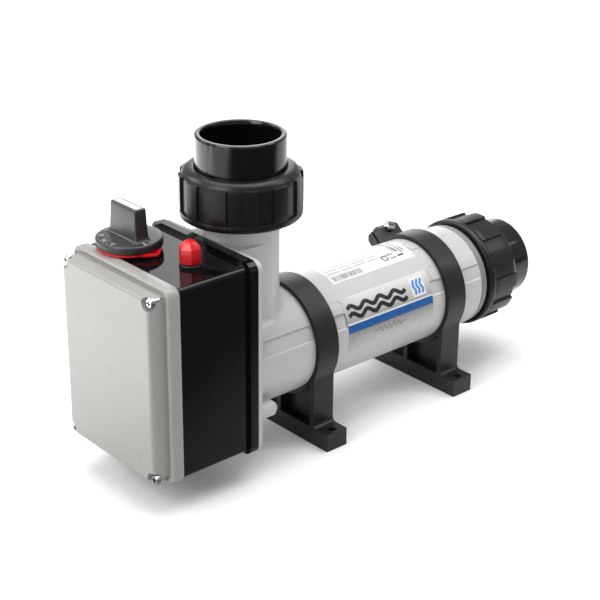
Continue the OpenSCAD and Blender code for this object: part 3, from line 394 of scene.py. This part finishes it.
def area_light(name, at, size, power):
    """Soft window of a size in metres and a power in watts, turned to the object."""
    data = bpy.data.lights.new(name, "AREA")
    data.shape = "RECTANGLE"
    data.size, data.size_y = size
    data.energy = power
    lamp = add_object(name, data)
    lamp.location = at
    lamp.rotation_mode = "QUATERNION"
    lamp.rotation_quaternion = (LIGHTS_AIM - Vector(at)).to_track_quat("-Z", "Y")


make_stage()
area_light("overhead", (0.1, 0.1, 1.7), (1.9, 1.5), 36)
area_light("left_window", (-1.5, -0.1, 0.95), (0.9, 1.3), 19)
area_light("right_window", (1.35, -0.95, 1.6), (0.5, 0.9), 7)
area_light("rear_left", (-0.95, 1.55, 1.25), (1.0, 0.8), 12)
world = bpy.data.worlds.new("studio")
world.use_nodes = True
world.node_tree.nodes["Background"].inputs["Color"].default_value = (1, 1, 1, 1)
world.node_tree.nodes["Background"].inputs["Strength"].default_value = WORLD_STRENGTH
bpy.context.scene.world = world


# ------------------------------------------------------------------ mesh helpers
def rounded_loop(w, h, r, corner_steps=8):
    """Points of a rounded rectangle, counter-clockwise, as pairs."""
    points = []
    for corner, (sx, sy) in enumerate(((1, 1), (-1, 1), (-1, -1), (1, -1))):
        for k in range(corner_steps + 1):
            a = math.radians(90 * (corner + k / corner_steps))
            points.append((sx * (w / 2 - r) + r * math.cos(a), sy * (h / 2 - r) + r * math.sin(a)))
    return points


def hexagon_loop(af, r):
    """Points of a hexagon over its flats, with corners of radius r."""
    steps = 4
    reach = (af / 2 - r) / math.cos(math.pi / 6)
    points = []
    for corner in range(6):
        middle = math.radians(60 * corner)
        for k in range(steps + 1):
            a = middle + math.radians(-30 + 60 * k / steps)
            points.append((reach * math.cos(middle) + r * math.cos(a),
                           reach * math.sin(middle) + r * math.sin(a)))
    return points


def skin(loops, round_trip=False):
    """Faces between loops of as many points each, with the two ends closed or joined to each other."""
    bm = bmesh.new()
    rings = [[bm.verts.new(p) for p in loop] for loop in loops]
    count = len(rings[0])
    pairs = list(zip(rings, rings[1:]))
    if round_trip:
        pairs.append((rings[-1], rings[0]))
    for a, b in pairs:
        for k in range(count):
            bm.faces.new((a[k], a[(k + 1) % count], b[(k + 1) % count], b[k]))
    if not round_trip:
        bm.faces.new(rings[0][::-1])
        bm.faces.new(rings[-1])
    return bm


def even_angles(count):
    return [360 * k / count for k in range(count)]


def lathe(profile, at, axis, angles, radius=None):
    """Turned ring: the profile's (r, z) points about an axis through a point.

    radius(r, z, angle) changes the reach where the shape isn't round."""
    loops = []
    for r, z in profile:
        loop = []
        for angle in angles:
            a = math.radians(angle)
            reach = radius(r, z, angle) if radius else r
            u, v = reach * math.cos(a), reach * math.sin(a)
            offset = (u, v, z) if axis == "Z" else (z, u, v)
            loop.append(tuple(p + q for p, q in zip(at, offset)))
        loops.append(loop)
    return skin(loops, round_trip=True)


def piece(name, bm, body, slot_name, sharp=40, replaces=()):
    """Turns a bmesh in millimetres into a piece that rides on a body."""
    bmesh.ops.recalc_face_normals(bm, faces=bm.faces)
    for face in bm.faces:
        face.smooth = True
    mesh = bpy.data.meshes.new(name)
    bm.to_mesh(mesh)
    bm.free()
    mesh.transform(Matrix.Scale(MM, 4))
    mesh.set_sharp_from_angle(angle=math.radians(sharp))
    mesh.materials.append(MATERIALS[slot_name])
    obj = add_object(name, mesh)
    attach(obj, body)
    if replaces:
        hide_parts(*replaces)
    return obj


def cut_away(obj, cutters):
    """Subtracts bmeshes in millimetres from a piece."""
    for bm in cutters:
        bmesh.ops.recalc_face_normals(bm, faces=bm.faces)
        mesh = bpy.data.meshes.new("cutter")
        bm.to_mesh(mesh)
        bm.free()
        mesh.transform(Matrix.Scale(MM, 4))
        tool = add_object("cutter", mesh)
        modifier = obj.modifiers.new("cut", "BOOLEAN")
        modifier.operation = "DIFFERENCE"
        modifier.solver = "EXACT"
        modifier.object = tool
        bpy.context.view_layer.update()
        evaluated = obj.evaluated_get(bpy.context.evaluated_depsgraph_get())
        result = bpy.data.meshes.new_from_object(evaluated)
        obj.modifiers.clear()
        obj.data = result
        bpy.data.objects.remove(tool)


def add_bevel(obj, width, angle, segments=2):
    bevel = obj.modifiers.new("bevel", "BEVEL")
    bevel.width = width * MM
    bevel.segments = segments
    bevel.limit_method = "ANGLE"
    bevel.angle_limit = math.radians(angle)
    return bevel


def round_edges(obj, width, angle=40):
    """Rounds a piece's sharp edges."""
    add_bevel(obj, width, angle).harden_normals = True


# ------------------------------------------------------------------ sizes taken from the frame
LID_LOW, LID_HIGH = spans("box_lid")
LID_W, LID_H = LID_HIGH.y - LID_LOW.y, LID_HIGH.z - LID_LOW.z
LID_BACK, LID_FACE = LID_HIGH.x, LID_LOW.x
BOX_Z = (LID_HIGH.z + LID_LOW.z) / 2
RISER_X = sum(v.x for v in spans("inlet_union_nut")) / 2
NUT_START = spans("inlet_union_nut")[0].z
NUT_R = (spans("inlet_union_nut")[1].y - spans("inlet_union_nut")[0].y) / 2
SOCKET_END = spans("inlet_tailpiece")[1].z - NUT_START
OUTLET_START = spans("outlet_union_nut")[0].x
AXIS_Z = sum(v.z for v in spans("outlet_union_nut")) / 2
KNOB = sum(spans("knob"), Vector()) / 2
DIAL_Z = spans("knob")[0].z
DIAL_R = (spans("knob")[1].x - spans("knob")[0].x) / 2
GRIP_TOP = spans("knob")[1].z
RING_Z = spans("limit_ring")[0].z
CAP_LOW, CAP_HIGH = spans("reset_cap")
CAP = (CAP_LOW + CAP_HIGH) / 2
TUBE_R = 37.0
TUBE_END = 90.0
RISER_R = 24.5


# ------------------------------------------------------------------ lid
LID_SCREW_Y, LID_SCREW_Z = 43, 58.8
LID_SEAT_DEPTH = 4
GATE_MARK_Y, GATE_MARK_Z = -1, 1.5


def make_lid():
    """Lid shell from loops of (inset, distance from its back, corner radius), with its four screw seats."""
    def loop(inset, depth, r):
        return [(LID_BACK - depth, y, z + BOX_Z)
                for y, z in rounded_loop(LID_W - 2 * inset, LID_H - 2 * inset, r, 10)]

    total = LID_BACK - LID_FACE
    inside = [(12.5, total - 3, 2), (12.5, 9.2, 2), (12.2, 9, 2.2), (6, 9, 2), (6, 0, 2),
              (4.15, 0, 0.6), (4.15, 2, 0.6), (2.05, 2, 2.5), (2.05, 0, 2.5)]
    rim = [(0.7, 0, 5.4), (0.2, 0.15, 5.8), (0, 0.6, 6), (0, 4, 6), (0.05, 7.2, 6), (0.3, 8.1, 5.8),
           (0.8, 8.7, 5.3), (1.5, 8.95, 4.8), (2.1, 8.8, 4.4), (2.6, 8.35, 4), (3.0, 7.9, 3.8),
           (3.4, 7.75, 3.5), (3.75, 8.0, 3.3), (3.95, 8.7, 3.2)]
    panel = [(4.0, 10, 3.2), (4.2, total - 1.9, 3.1), (4.35, total - 1.2, 3), (4.75, total - 0.55, 2.9),
             (5.3, total - 0.2, 2.7), (6.1, total - 0.04, 2.4), (7.2, total, 2)]
    shell = skin([loop(*row) for row in inside + rim + panel])
    lid = piece("lid_shell", shell, "lid", "lid_grey", 45, ["box_lid"])
    floor = LID_FACE + LID_SEAT_DEPTH
    seat = [(0.01, LID_FACE - 3), (5.0, LID_FACE - 3), (5.0, floor - 0.4), (4.6, floor), (0.01, floor)]
    hole = [(0.01, LID_FACE), (1.95, LID_FACE), (1.95, LID_BACK + 2), (0.01, LID_BACK + 2)]
    cutters = []
    for sy in (-1, 1):
        for sz in (-1, 1):
            at = (0, sy * LID_SCREW_Y, BOX_Z + sz * LID_SCREW_Z)
            cutters.append(lathe(seat, at, "X", even_angles(40)))
            cutters.append(lathe(hole, at, "X", even_angles(24)))
    cut_away(lid, cutters)
    round_edges(lid, 0.35, 45)
    gate = [(2.3, 0.1), (2.35, -0.1), (2.6, -0.16), (2.85, -0.1), (2.9, 0.1)]
    gate_mark = lathe(gate, (LID_FACE, GATE_MARK_Y, BOX_Z + GATE_MARK_Z), "X", even_angles(32))
    piece("lid_gate_mark", gate_mark, "lid", "lid_grey")


# ------------------------------------------------------------------ unions
PAD_COUNT = 12
PAD_RISE = 1.7
PAD_HALF = 7.5
PAD_START, PAD_END = 5, 27.4
PAD_FADE_START, PAD_FADE = 24, 0.15
NUT_HOLE_R, NUT_THREAD_R = 29.4, 33.05
NOTCH_HALF, NOTCH_LEN, NOTCH_DEPTH = 1.3, 1.7, 0.55


def nut_angles():
    """Angles around a nut, close together at the sides of its pads."""
    step = 360 / PAD_COUNT
    marks = (-7.7, -7.2, -3.6, 0, 3.6, 7.2, 7.7, 11.4, 15, 18.6)
    return [i * step + m for i in range(PAD_COUNT) for m in marks]


def nut_radius(r, z, angle):
    """Adds the raised grip pads to the nut's round body."""
    step = 360 / PAD_COUNT
    off = abs((angle + step / 2) % step - step / 2)
    if off > PAD_HALF or not PAD_START < z < PAD_END or r < NUT_R - 4:
        return r
    return NUT_R - PAD_FADE * max(0.0, z - PAD_FADE_START) / (PAD_END - PAD_FADE_START)


def nut_profile():
    """Outside of the rim, the body and the rounded shoulder, then the hole and the threaded bore."""
    body_r = NUT_R - PAD_RISE
    outer = [(34.2, 0), (NUT_R - 2.6, 0), (NUT_R - 1.4, 0.2), (NUT_R - 0.5, 0.9), (NUT_R - 0.1, 1.9),
             (NUT_R, 3), (NUT_R, 4.3), (NUT_R - 0.15, 4.75), (body_r, 5.2), (body_r, 10), (body_r, 16),
             (body_r, 22), (body_r, 24.6)]
    outer += [(body_r - 5.6 + 5.6 * math.cos(t), 25 + 6.6 * math.sin(t))
              for t in (math.radians(k) for k in (12, 20.5, 24.6, 34, 46, 58, 70, 80))]
    outer += [(NUT_HOLE_R + 1.6, 31.85), (NUT_HOLE_R + 0.7, 31.9), (NUT_HOLE_R + 0.15, 31.7),
              (NUT_HOLE_R, 31.2)]
    return outer + [(NUT_HOLE_R, 29.2), (NUT_HOLE_R + 0.2, 29), (NUT_THREAD_R, 29), (NUT_THREAD_R, 1.1)]


def tail_profile(length):
    """Flange under the nut, tapered outside, rounded mouth, then the pipe socket and its stop."""
    return [(22, 20.5), (32.4, 20.5), (32.7, 20.8), (32.7, 28.4), (29.6, 28.6), (29.05, 29.2),
            (28.95, 34), (28.85, 42), (28.8, length - 1.6), (28.72, length - 0.7),
            (28.45, length - 0.25), (28.0, length - 0.02), (27.2, length), (25.9, length),
            (25.55, length - 0.15), (25.2, length - 0.8), (25.1, length - 6), (25.05, length - 29.6),
            (24.8, length - 30), (22.2, length - 30), (22, length - 30.3)]


def tail_radius(notches):
    """Cuts small notches into the mouth of a tailpiece at some angles."""
    def radius(r, z, angle):
        near = min(abs((angle - n + 180) % 360 - 180) for n in notches)
        if near < NOTCH_HALF and z > SOCKET_END - NOTCH_LEN and r > 28.2:
            return r - NOTCH_DEPTH
        return r
    return radius


def make_unions():
    for which, at, axis, notches in (("inlet", (RISER_X, 0, NUT_START), "Z", (-170, -97, -35, 60)),
                                     ("outlet", (OUTLET_START, 0, AXIS_Z), "X", (100, 185, 300))):
        nut, tail = which + "_union_nut", which + "_tailpiece"
        shell = lathe(nut_profile(), at, axis, nut_angles(), nut_radius)
        piece(which + "_nut_shell", shell, nut, "nut_black", 38, [nut])
        shell = lathe(tail_profile(SOCKET_END), at, axis, even_angles(144), tail_radius(notches))
        piece(which + "_socket_shell", shell, tail, "socket_black", 40, [tail])


# ------------------------------------------------------------------ temperature knob
SCALE_START = 200
TICK_STEP, TICK_COUNT = 10, 13
NUMBERS = ("10", "20", "30", "40", "50")
NUMBER_STEP, NUMBER_SIZE, NUMBER_REACH = 30, 3.1, 16.6
INDEX_ANGLE = -94
LIMIT_TAB_ANGLE = -82


def make_knob():
    r = DIAL_R
    dial = [(0.02, 3), (3, 3), (3, 0.1), (5, 0.1), (5, 3), (r - 2, 3), (r - 2, 0), (r - 0.5, 0),
            (r - 0.08, 0.25), (r, 0.7), (r, 3.9), (r - 0.15, 4.45), (r - 0.55, 4.85), (r - 1.2, 5.0),
            (r - 6, 5.2), (7, 5.45), (0.02, 5.5)]
    shell = lathe(dial, (KNOB.x, KNOB.y, DIAL_Z), "Z", even_angles(120))
    piece("dial_shell", shell, "knob", "knob_grey", 40, ["knob"])

    def stack(rows, corner_steps):
        """Skin over rounded rectangles of (width, length, corner radius, height above the dial's foot)."""
        return skin([[(KNOB.x + px, KNOB.y + py, DIAL_Z + z)
                      for px, py in rounded_loop(w, length, cr, corner_steps)]
                     for w, length, cr, z in rows])

    top = GRIP_TOP - DIAL_Z
    grip = [(15.6, 32.8, 1.6, 5.1), (13.2, 31.2, 1.6, 5.3), (11.6, 29.8, 1.5, 5.75), (10.4, 28.8, 1.4, 6.6),
            (9.8, 28.2, 1.3, 8), (9.5, 27.7, 1.2, 11), (9.0, 26.9, 1.2, 18), (8.6, 26.3, 1.2, top - 1.3),
            (8.3, 26.0, 1.15, top - 0.6), (7.7, 25.5, 1.1, top - 0.2), (6.9, 24.8, 1.0, top - 0.02)]
    piece("grip_shell", stack(grip, 6), "knob", "knob_grey", 50)
    white = [(4.9, 23.2, 0.5, top - 0.8), (4.9, 23.2, 0.5, top + 0.02), (4.5, 22.8, 0.4, top + 0.14)]
    piece("grip_insert", stack(white, 4), "knob", "insert_white", 50, ["knob_insert"])
    make_scale()


def dial_z(reach):
    """Height of the dial's sloping face at a distance from its centre."""
    return DIAL_Z + 5.0 + 0.2 * (DIAL_R - 1.2 - reach) / 4.8


def dial_mark(name, angle, r0, r1, width):
    """Thin raised line on the dial's face, from one distance to another."""
    a = math.radians(angle)
    along, across = Vector((math.cos(a), math.sin(a))), Vector((-math.sin(a), math.cos(a)))
    loops = []
    for reach in (r0, r1):
        c = Vector((KNOB.x, KNOB.y)) + along * reach
        p, q = c - across * width / 2, c + across * width / 2
        z = dial_z(reach)
        loops.append([(*p, z - 0.1), (*q, z - 0.1), (*q, z + 0.06), (*p, z + 0.06)])
    piece(name, skin(loops), "knob", "insert_white", 30)


def make_scale():
    """Index line, ticks and plain numbers, raised on the dial."""
    dial_mark("dial_index", INDEX_ANGLE, 15.6, 19.6, 0.85)
    for k in range(TICK_COUNT):
        start, width = (18.3, 0.45) if k % 3 == 0 else (18.9, 0.3)
        dial_mark("dial_tick_%02d" % k, SCALE_START - TICK_STEP * k, start, 19.8, width)
    for k, value in enumerate(NUMBERS):
        curve = bpy.data.curves.new("digits", "FONT")
        curve.body = value
        curve.size = NUMBER_SIZE
        curve.extrude = 0.05
        curve.align_x, curve.align_y = "CENTER", "CENTER"
        text = add_object("digits", curve)
        bpy.context.view_layer.update()
        mesh = bpy.data.meshes.new_from_object(text)
        bpy.data.objects.remove(text)
        angle = math.radians(SCALE_START - NUMBER_STEP * k)
        place = (KNOB.x + NUMBER_REACH * math.cos(angle), KNOB.y + NUMBER_REACH * math.sin(angle),
                 dial_z(NUMBER_REACH) + 0.01)
        bm = bmesh.new()
        bm.from_mesh(mesh)
        bmesh.ops.rotate(bm, verts=bm.verts, matrix=Matrix.Rotation(angle - math.pi / 2, 3, "Z"))
        bmesh.ops.translate(bm, verts=bm.verts, vec=place)
        piece("dial_number_%d" % k, bm, "knob", "insert_white", 30)


def make_limit_ring():
    """Red ring with a thin web under the dial, and a frame-shaped tab at its side."""
    at, r = (KNOB.x, KNOB.y, RING_Z), DIAL_R - 0.6
    ring = [(r - 3.2, 0.35), (r - 0.3, 0), (r, 0.25), (r + 0.02, 0.75), (r, 1.25), (r - 0.3, 1.5),
            (r - 1.0, 1.5), (r - 1.2, 1.1), (r - 3.2, 1.0)]
    shell = lathe(ring, at, "Z", even_angles(120))
    piece("limit_ring_shell", shell, "limit_ring", "limit_red", 35, ["limit_ring"])
    web = [(r - 3.4, 0.4), (r - 3.1, 0.4), (r - 3.1, 0.9), (r - 3.4, 0.9), (5.2, 0.9), (5.2, 0.4)]
    piece("limit_ring_web", lathe(web, at, "Z", even_angles(96)), "limit_ring", "limit_red", 35)
    turned = Matrix.Rotation(math.radians(LIMIT_TAB_ANGLE), 2)
    outer = [(r - 1.0, -8.2), (r + 0.6, -7.0), (r + 2.8, -3.6), (r + 4.6, -1.3), (r + 4.8, 0),
             (r + 4.6, 1.3), (r + 2.8, 3.6), (r + 0.6, 7.0), (r - 1.0, 8.2), (r - 1.0, 0)]
    inner = [(r + 0.3, -4.6), (r + 0.9, -4.2), (r + 1.9, -2.6), (r + 3.2, -0.8), (r + 3.4, 0),
             (r + 3.2, 0.8), (r + 1.9, 2.6), (r + 0.9, 4.2), (r + 0.3, 4.6), (r + 0.25, 0)]

    def level(points, z):
        return [(*(Vector((KNOB.x, KNOB.y)) + turned @ Vector(p)), RING_Z + z) for p in points]

    loops = [level(outer, 0.05), level(inner, 0.05), level(inner, 1.5), level(outer, 1.5)]
    tab = skin(loops, round_trip=True)
    round_edges(piece("limit_ring_tab", tab, "limit_ring", "limit_red", 35), 0.15)


# ------------------------------------------------------------------ reset cap
CAP_BORE_R, CAP_BORE_DEPTH = 4.05, 7.4


def make_cap():
    """Blind bore, then the hexagon of (width over flats, corner radius, height) up to its cone and top."""
    def circle(r, z):
        return [(CAP.x + r * math.cos(a), CAP.y + r * math.sin(a), CAP_LOW.z + z)
                for a in (math.atan2(py, px) for px, py in hexagon_loop(12, 0.5))]

    def hexagon(af, r, z):
        return [(CAP.x + px, CAP.y + py, CAP_LOW.z + z) for px, py in hexagon_loop(af, r)]

    height = CAP_HIGH.z - CAP_LOW.z
    sides = [(11.9, 0.7, 0), (12.4, 0.6, 0.2), (12.58, 0.55, 0.7), (12.3, 0.5, height - 4.5),
             (12.15, 0.5, height - 4.2), (11.8, 0.5, height - 3.8), (6.9, 0.5, height - 0.55),
             (6.2, 0.5, height - 0.15), (5.2, 0.4, height)]
    loops = [circle(1.0, CAP_BORE_DEPTH), circle(CAP_BORE_R, CAP_BORE_DEPTH), circle(CAP_BORE_R, 0)]
    loops += [hexagon(*row) for row in sides]
    piece("reset_cap_shell", skin(loops), "reset_cap", "cap_red", 22, ["reset_cap"])


# ------------------------------------------------------------------ details on the grey body
DEGREES_PER_MM = math.degrees(1 / TUBE_R)
BOW_CORNER = 3.2
MOULDED = (-0.3, 0.28)
RISER_FILLET = 3.2


def on_tube(x, angle, lift=0.0):
    """Point on the main tube, the angle in degrees above the side that the labels face."""
    a = math.radians(angle)
    reach = TUBE_R + lift
    return (x, -reach * math.cos(a), AXIS_Z + reach * math.sin(a))


def patch(x0, x1, a0, a1, low, high):
    """Thin curved plate on the tube between two places and two angles."""
    steps = max(1, int(abs(a1 - a0) / 2.5))
    angles = [a0 + (a1 - a0) * k / steps for k in range(steps + 1)]
    around = [(a, high) for a in angles] + [(a, low) for a in reversed(angles)]
    return skin([[on_tube(x, a, lift) for a, lift in around] for x in (x0, x1)])


def ribbon(points, width, low, high):
    """Thin stroke on the tube along (x, angle) points."""
    loops = []
    for k, (x, a) in enumerate(points):
        ahead, behind = points[min(k + 1, len(points) - 1)], points[max(k - 1, 0)]
        along = Vector((ahead[0] - behind[0], (ahead[1] - behind[1]) / DEGREES_PER_MM)).normalized()
        side = Vector((-along.y, along.x)) * width / 2
        p = (x + side.x, a + side.y * DEGREES_PER_MM)
        q = (x - side.x, a - side.y * DEGREES_PER_MM)
        loops.append([on_tube(*p, low), on_tube(*q, low), on_tube(*q, high), on_tube(*p, high)])
    return skin(loops)


def bow(x, a, reach, half):
    """U-shaped line that opens towards a clamp: reach along the tube, half its height in degrees."""
    steps = 10
    sign = 1 if reach > 0 else -1
    quarter = [math.pi / 2 * k / steps for k in range(steps + 1)]

    def corner(t, side):
        inward = BOW_CORNER * DEGREES_PER_MM * (1 - math.cos(t))
        return (x + reach - sign * BOW_CORNER * (1 - math.sin(t)), a + side * (half - inward))

    turn_in = [corner(t, 1) for t in quarter]
    turn_out = [corner(t, -1) for t in reversed(quarter)]
    return [(x, a + half)] + turn_in + turn_out + [(x, a - half)]


def make_riser_fillet():
    """Rounded joint where the riser stands on the main tube."""
    steps = 6
    loops = []
    for k in range(steps + 1):
        t = math.pi / 2 * k / steps
        reach = RISER_R + RISER_FILLET * (1 - math.sin(t)) - 0.15
        lift = RISER_FILLET * (1 - math.cos(t)) - 0.15
        loop = []
        for a in (math.radians(v) for v in even_angles(96)):
            y = reach * math.sin(a)
            loop.append((RISER_X + reach * math.cos(a), y, AXIS_Z + math.sqrt(TUBE_R ** 2 - y * y) + lift))
        loops.append(loop)
    inner = [[(RISER_X + (px - RISER_X) * s, py * s, pz - 1.2) for px, py, pz in loop]
             for s, loop in ((0.93, loops[-1]), (0.96, loops[0]))]
    piece("riser_fillet", skin(loops + inner, round_trip=True), "heater", "grey_body", 60)


def make_body_details():
    after_clamp = spans("clamp_box_end")[1].x + 0.3
    before_clamp = spans("clamp_outlet_end")[0].x - 0.3
    for k, path in enumerate((bow(after_clamp, 38, 12.5, 7.6), bow(before_clamp, 39.5, -8.8, 8),
                              bow(before_clamp, 82, -8.8, 8)), 1):
        piece("tube_bow_%d" % k, ribbon(path, 0.55, *MOULDED), "heater", "grey_body")
    slot_mark = ribbon([(86.3, angle) for angle in (-1, 2, 5, 8)], 0.7, -0.3, 0.2)
    piece("tube_slot_mark", slot_mark, "heater", "grey_body")
    # Ring that follows the collar at the tube's end; its dark grey is painted shade where the rounded end
    # turns from the light.
    band = [(36.0, 0.9), (36.45, 1.0), (36.65, 1.4), (36.65, 5.3), (36.5, 5.8), (36.0, 6.0)]
    shell = lathe(band, (TUBE_END, 0, AXIS_Z), "X", even_angles(128))
    piece("tube_end_shade_band", shell, "heater", "collar_painted_shade", 35)
    make_riser_fillet()


# ------------------------------------------------------------------ labels
STROKE = (0.1, 0.21)
SHEET = (0.1, 0.19)
PRINT = (0.1, 0.17)
WAVE_LEN, WAVE_HEIGHT, WAVE_STEP = 13.5, 2.6, 0.5
COIL_ANGLE, COIL_HEIGHT, COIL_PITCH = 1.0, 3.0, 2.2


def printed(name, mesh, slot_name, replaces=()):
    piece(name, mesh, "heater", slot_name, 60, replaces)


def make_front_label():
    """Silver label: two dark waves, a blue stripe, a white field with steam, and a coil symbol."""
    low, high = spans("front_label")
    x0, x1 = low.x, high.x
    printed("front_label_plate", patch(x0, x1, -12, 46, 0.02, 0.16), "label_silver", ["front_label"])
    printed("front_label_stripe", patch(x0, x1, 8.2, 16.6, 0.1, 0.2), "label_blue")
    printed("front_label_light", patch(x0, x1, 16.6, 18.4, *SHEET), "label_white")
    for k, middle in enumerate((25.2, 33.4)):
        wave = []
        for n in range(109):
            along = WAVE_STEP * n
            wave.append((x0 + 3 + along, middle + WAVE_HEIGHT * math.sin(along * 2 * math.pi / WAVE_LEN)))
        printed("front_label_wave_%d" % k, ribbon(wave, 2.9, *STROKE), "print_black")
    printed("front_label_field", patch(x1 - 17.5, x1 - 5, 21, 42, *SHEET), "label_white")
    for k in range(3):
        x = x1 - 14.6 + 3.4 * k
        curl = [(x + 0.75 * math.sin((a - 24.5) * 0.55), a) for a in [23.5 + 0.5 * n for n in range(33)]]
        printed("front_label_steam_%d" % k, ribbon(curl, 1.9, 0.15, 0.22), "label_sky")
    coil = [(x0 + 23, COIL_ANGLE), (x0 + 27, COIL_ANGLE)]
    coil += [(x0 + 28.5 + COIL_PITCH * n, COIL_ANGLE + (COIL_HEIGHT if n % 2 == 0 else -COIL_HEIGHT))
             for n in range(10)]
    coil += [(x0 + 50, COIL_ANGLE), (x0 + 54, COIL_ANGLE)]
    steps = 5
    coil = [(x + (u - x) * n / steps, a + (b - a) * n / steps)
            for (x, a), (u, b) in zip(coil, coil[1:]) for n in range(steps)] + coil[-1:]
    printed("front_label_coil", ribbon(coil, 0.75, *STROKE), "print_grey")


def make_rating_label():
    """White label: bars, plain lines in place of words, blocks, and two plain symbols."""
    low, high = spans("rating_label")
    x0, x1 = low.x, high.x
    printed("rating_label_plate", patch(x0, x1, 64, 124, 0.02, 0.14), "label_white", ["rating_label"])
    rng = random.Random(7)
    x = x0 + 3
    k = 0
    while x < x0 + 29:
        wide = rng.choice((0.35, 0.5, 0.8, 1.1))
        printed("rating_bar_%02d" % k, patch(x, x + wide, 67, 74, *PRINT), "print_grey")
        x += wide + rng.choice((0.5, 0.7, 1.0))
        k += 1
    for row in range(7):
        angle = 79 + 5.2 * row
        start = x0 + 3
        part = 0
        while start < x1 - 26:
            length = rng.uniform(5, 13)
            line = ribbon([(start, angle), (start + length, angle)], 0.55, *PRINT)
            printed("rating_line_%d_%d" % (row, part), line, "print_grey")
            start += length + 2.2
            part += 1
    # distance from the label's end, angle, length along the tube and height in degrees
    blocks = ((4, 92, 0.9, 26), (6.6, 90, 0.9, 28), (9.6, 96, 1.6, 32), (11.8, 88, 0.8, 14),
              (10, 73, 5.5, 2.2))
    for k, (px, pa, w, h) in enumerate(blocks):
        block = patch(x1 - px - w / 2, x1 - px + w / 2, pa - h / 2, pa + h / 2, *PRINT)
        printed("rating_block_%d" % k, block, "print_black")
    ring = [(x1 - 24 + 2.3 * math.cos(a), 75 + 2.3 * DEGREES_PER_MM * math.sin(a))
            for a in (math.radians(v) for v in range(0, 361, 15))]
    printed("rating_symbol_ring", ribbon(ring, 0.8, *PRINT), "print_black")
    left, right, bottom, top = x1 - 19.5, x1 - 15, 72, 78.5
    outline = [(left, bottom), (right, bottom), (right, top), (left, top), (left, bottom)]
    for k, (a, b) in enumerate(zip(outline, outline[1:])):
        printed("rating_symbol_frame_%d" % k, ribbon([a, b], 0.7, *PRINT), "print_black")


make_lid()
make_unions()
make_knob()
make_limit_ring()
make_cap()
make_body_details()
make_front_label()
make_rating_label()


# ------------------------------------------------------------------ softened edges on the CAD nodes
def smooth_shading():
    """Node group for a modifier that shades a mesh smooth and leaves the mesh itself as it is."""
    group = bpy.data.node_groups.new("smooth_shading", "GeometryNodeTree")
    group.is_modifier = True
    for direction in ("INPUT", "OUTPUT"):
        group.interface.new_socket("Geometry", in_out=direction, socket_type="NodeSocketGeometry")
    source = group.nodes.new("NodeGroupInput")
    smooth = group.nodes.new("GeometryNodeSetShadeSmooth")
    result = group.nodes.new("NodeGroupOutput")
    group.links.new(source.outputs[0], smooth.inputs["Geometry"])
    group.links.new(smooth.outputs[0], result.inputs[0])
    return group


SMOOTH_SHADING = smooth_shading()
SOFTEN_ANGLE = 32


def soften(node, width, segments=2):
    """Rounds a CAD node's sharp edges with modifiers, which leave its mesh as it is."""
    obj = NODES[node]
    obj.modifiers.new("smooth", "NODES").node_group = SMOOTH_SHADING
    obj.modifiers.new("weld", "WELD").merge_threshold = 1e-6
    add_bevel(obj, width, SOFTEN_ANGLE, segments)
    obj.modifiers.new("normals", "WEIGHTED_NORMAL").keep_sharp = False


for name in ("clamp_box_end", "clamp_outlet_end"):
    soften(name, 0.8)
soften("heater_body", 0.4)
soften("box_body", 0.9, segments=3)
for name in ("gland_body", "gland_dome_nut", "gland_lock_nut", "element_plate", "thermostat_body",
             "cutout_body", "terminal_block", "reset_bush_nut"):
    soften(name, 0.4)
for name in ("lid_screws", "box_screws", "clamp_screws", "clamp_nuts", "element_nuts"):
    soften(name, 0.2)
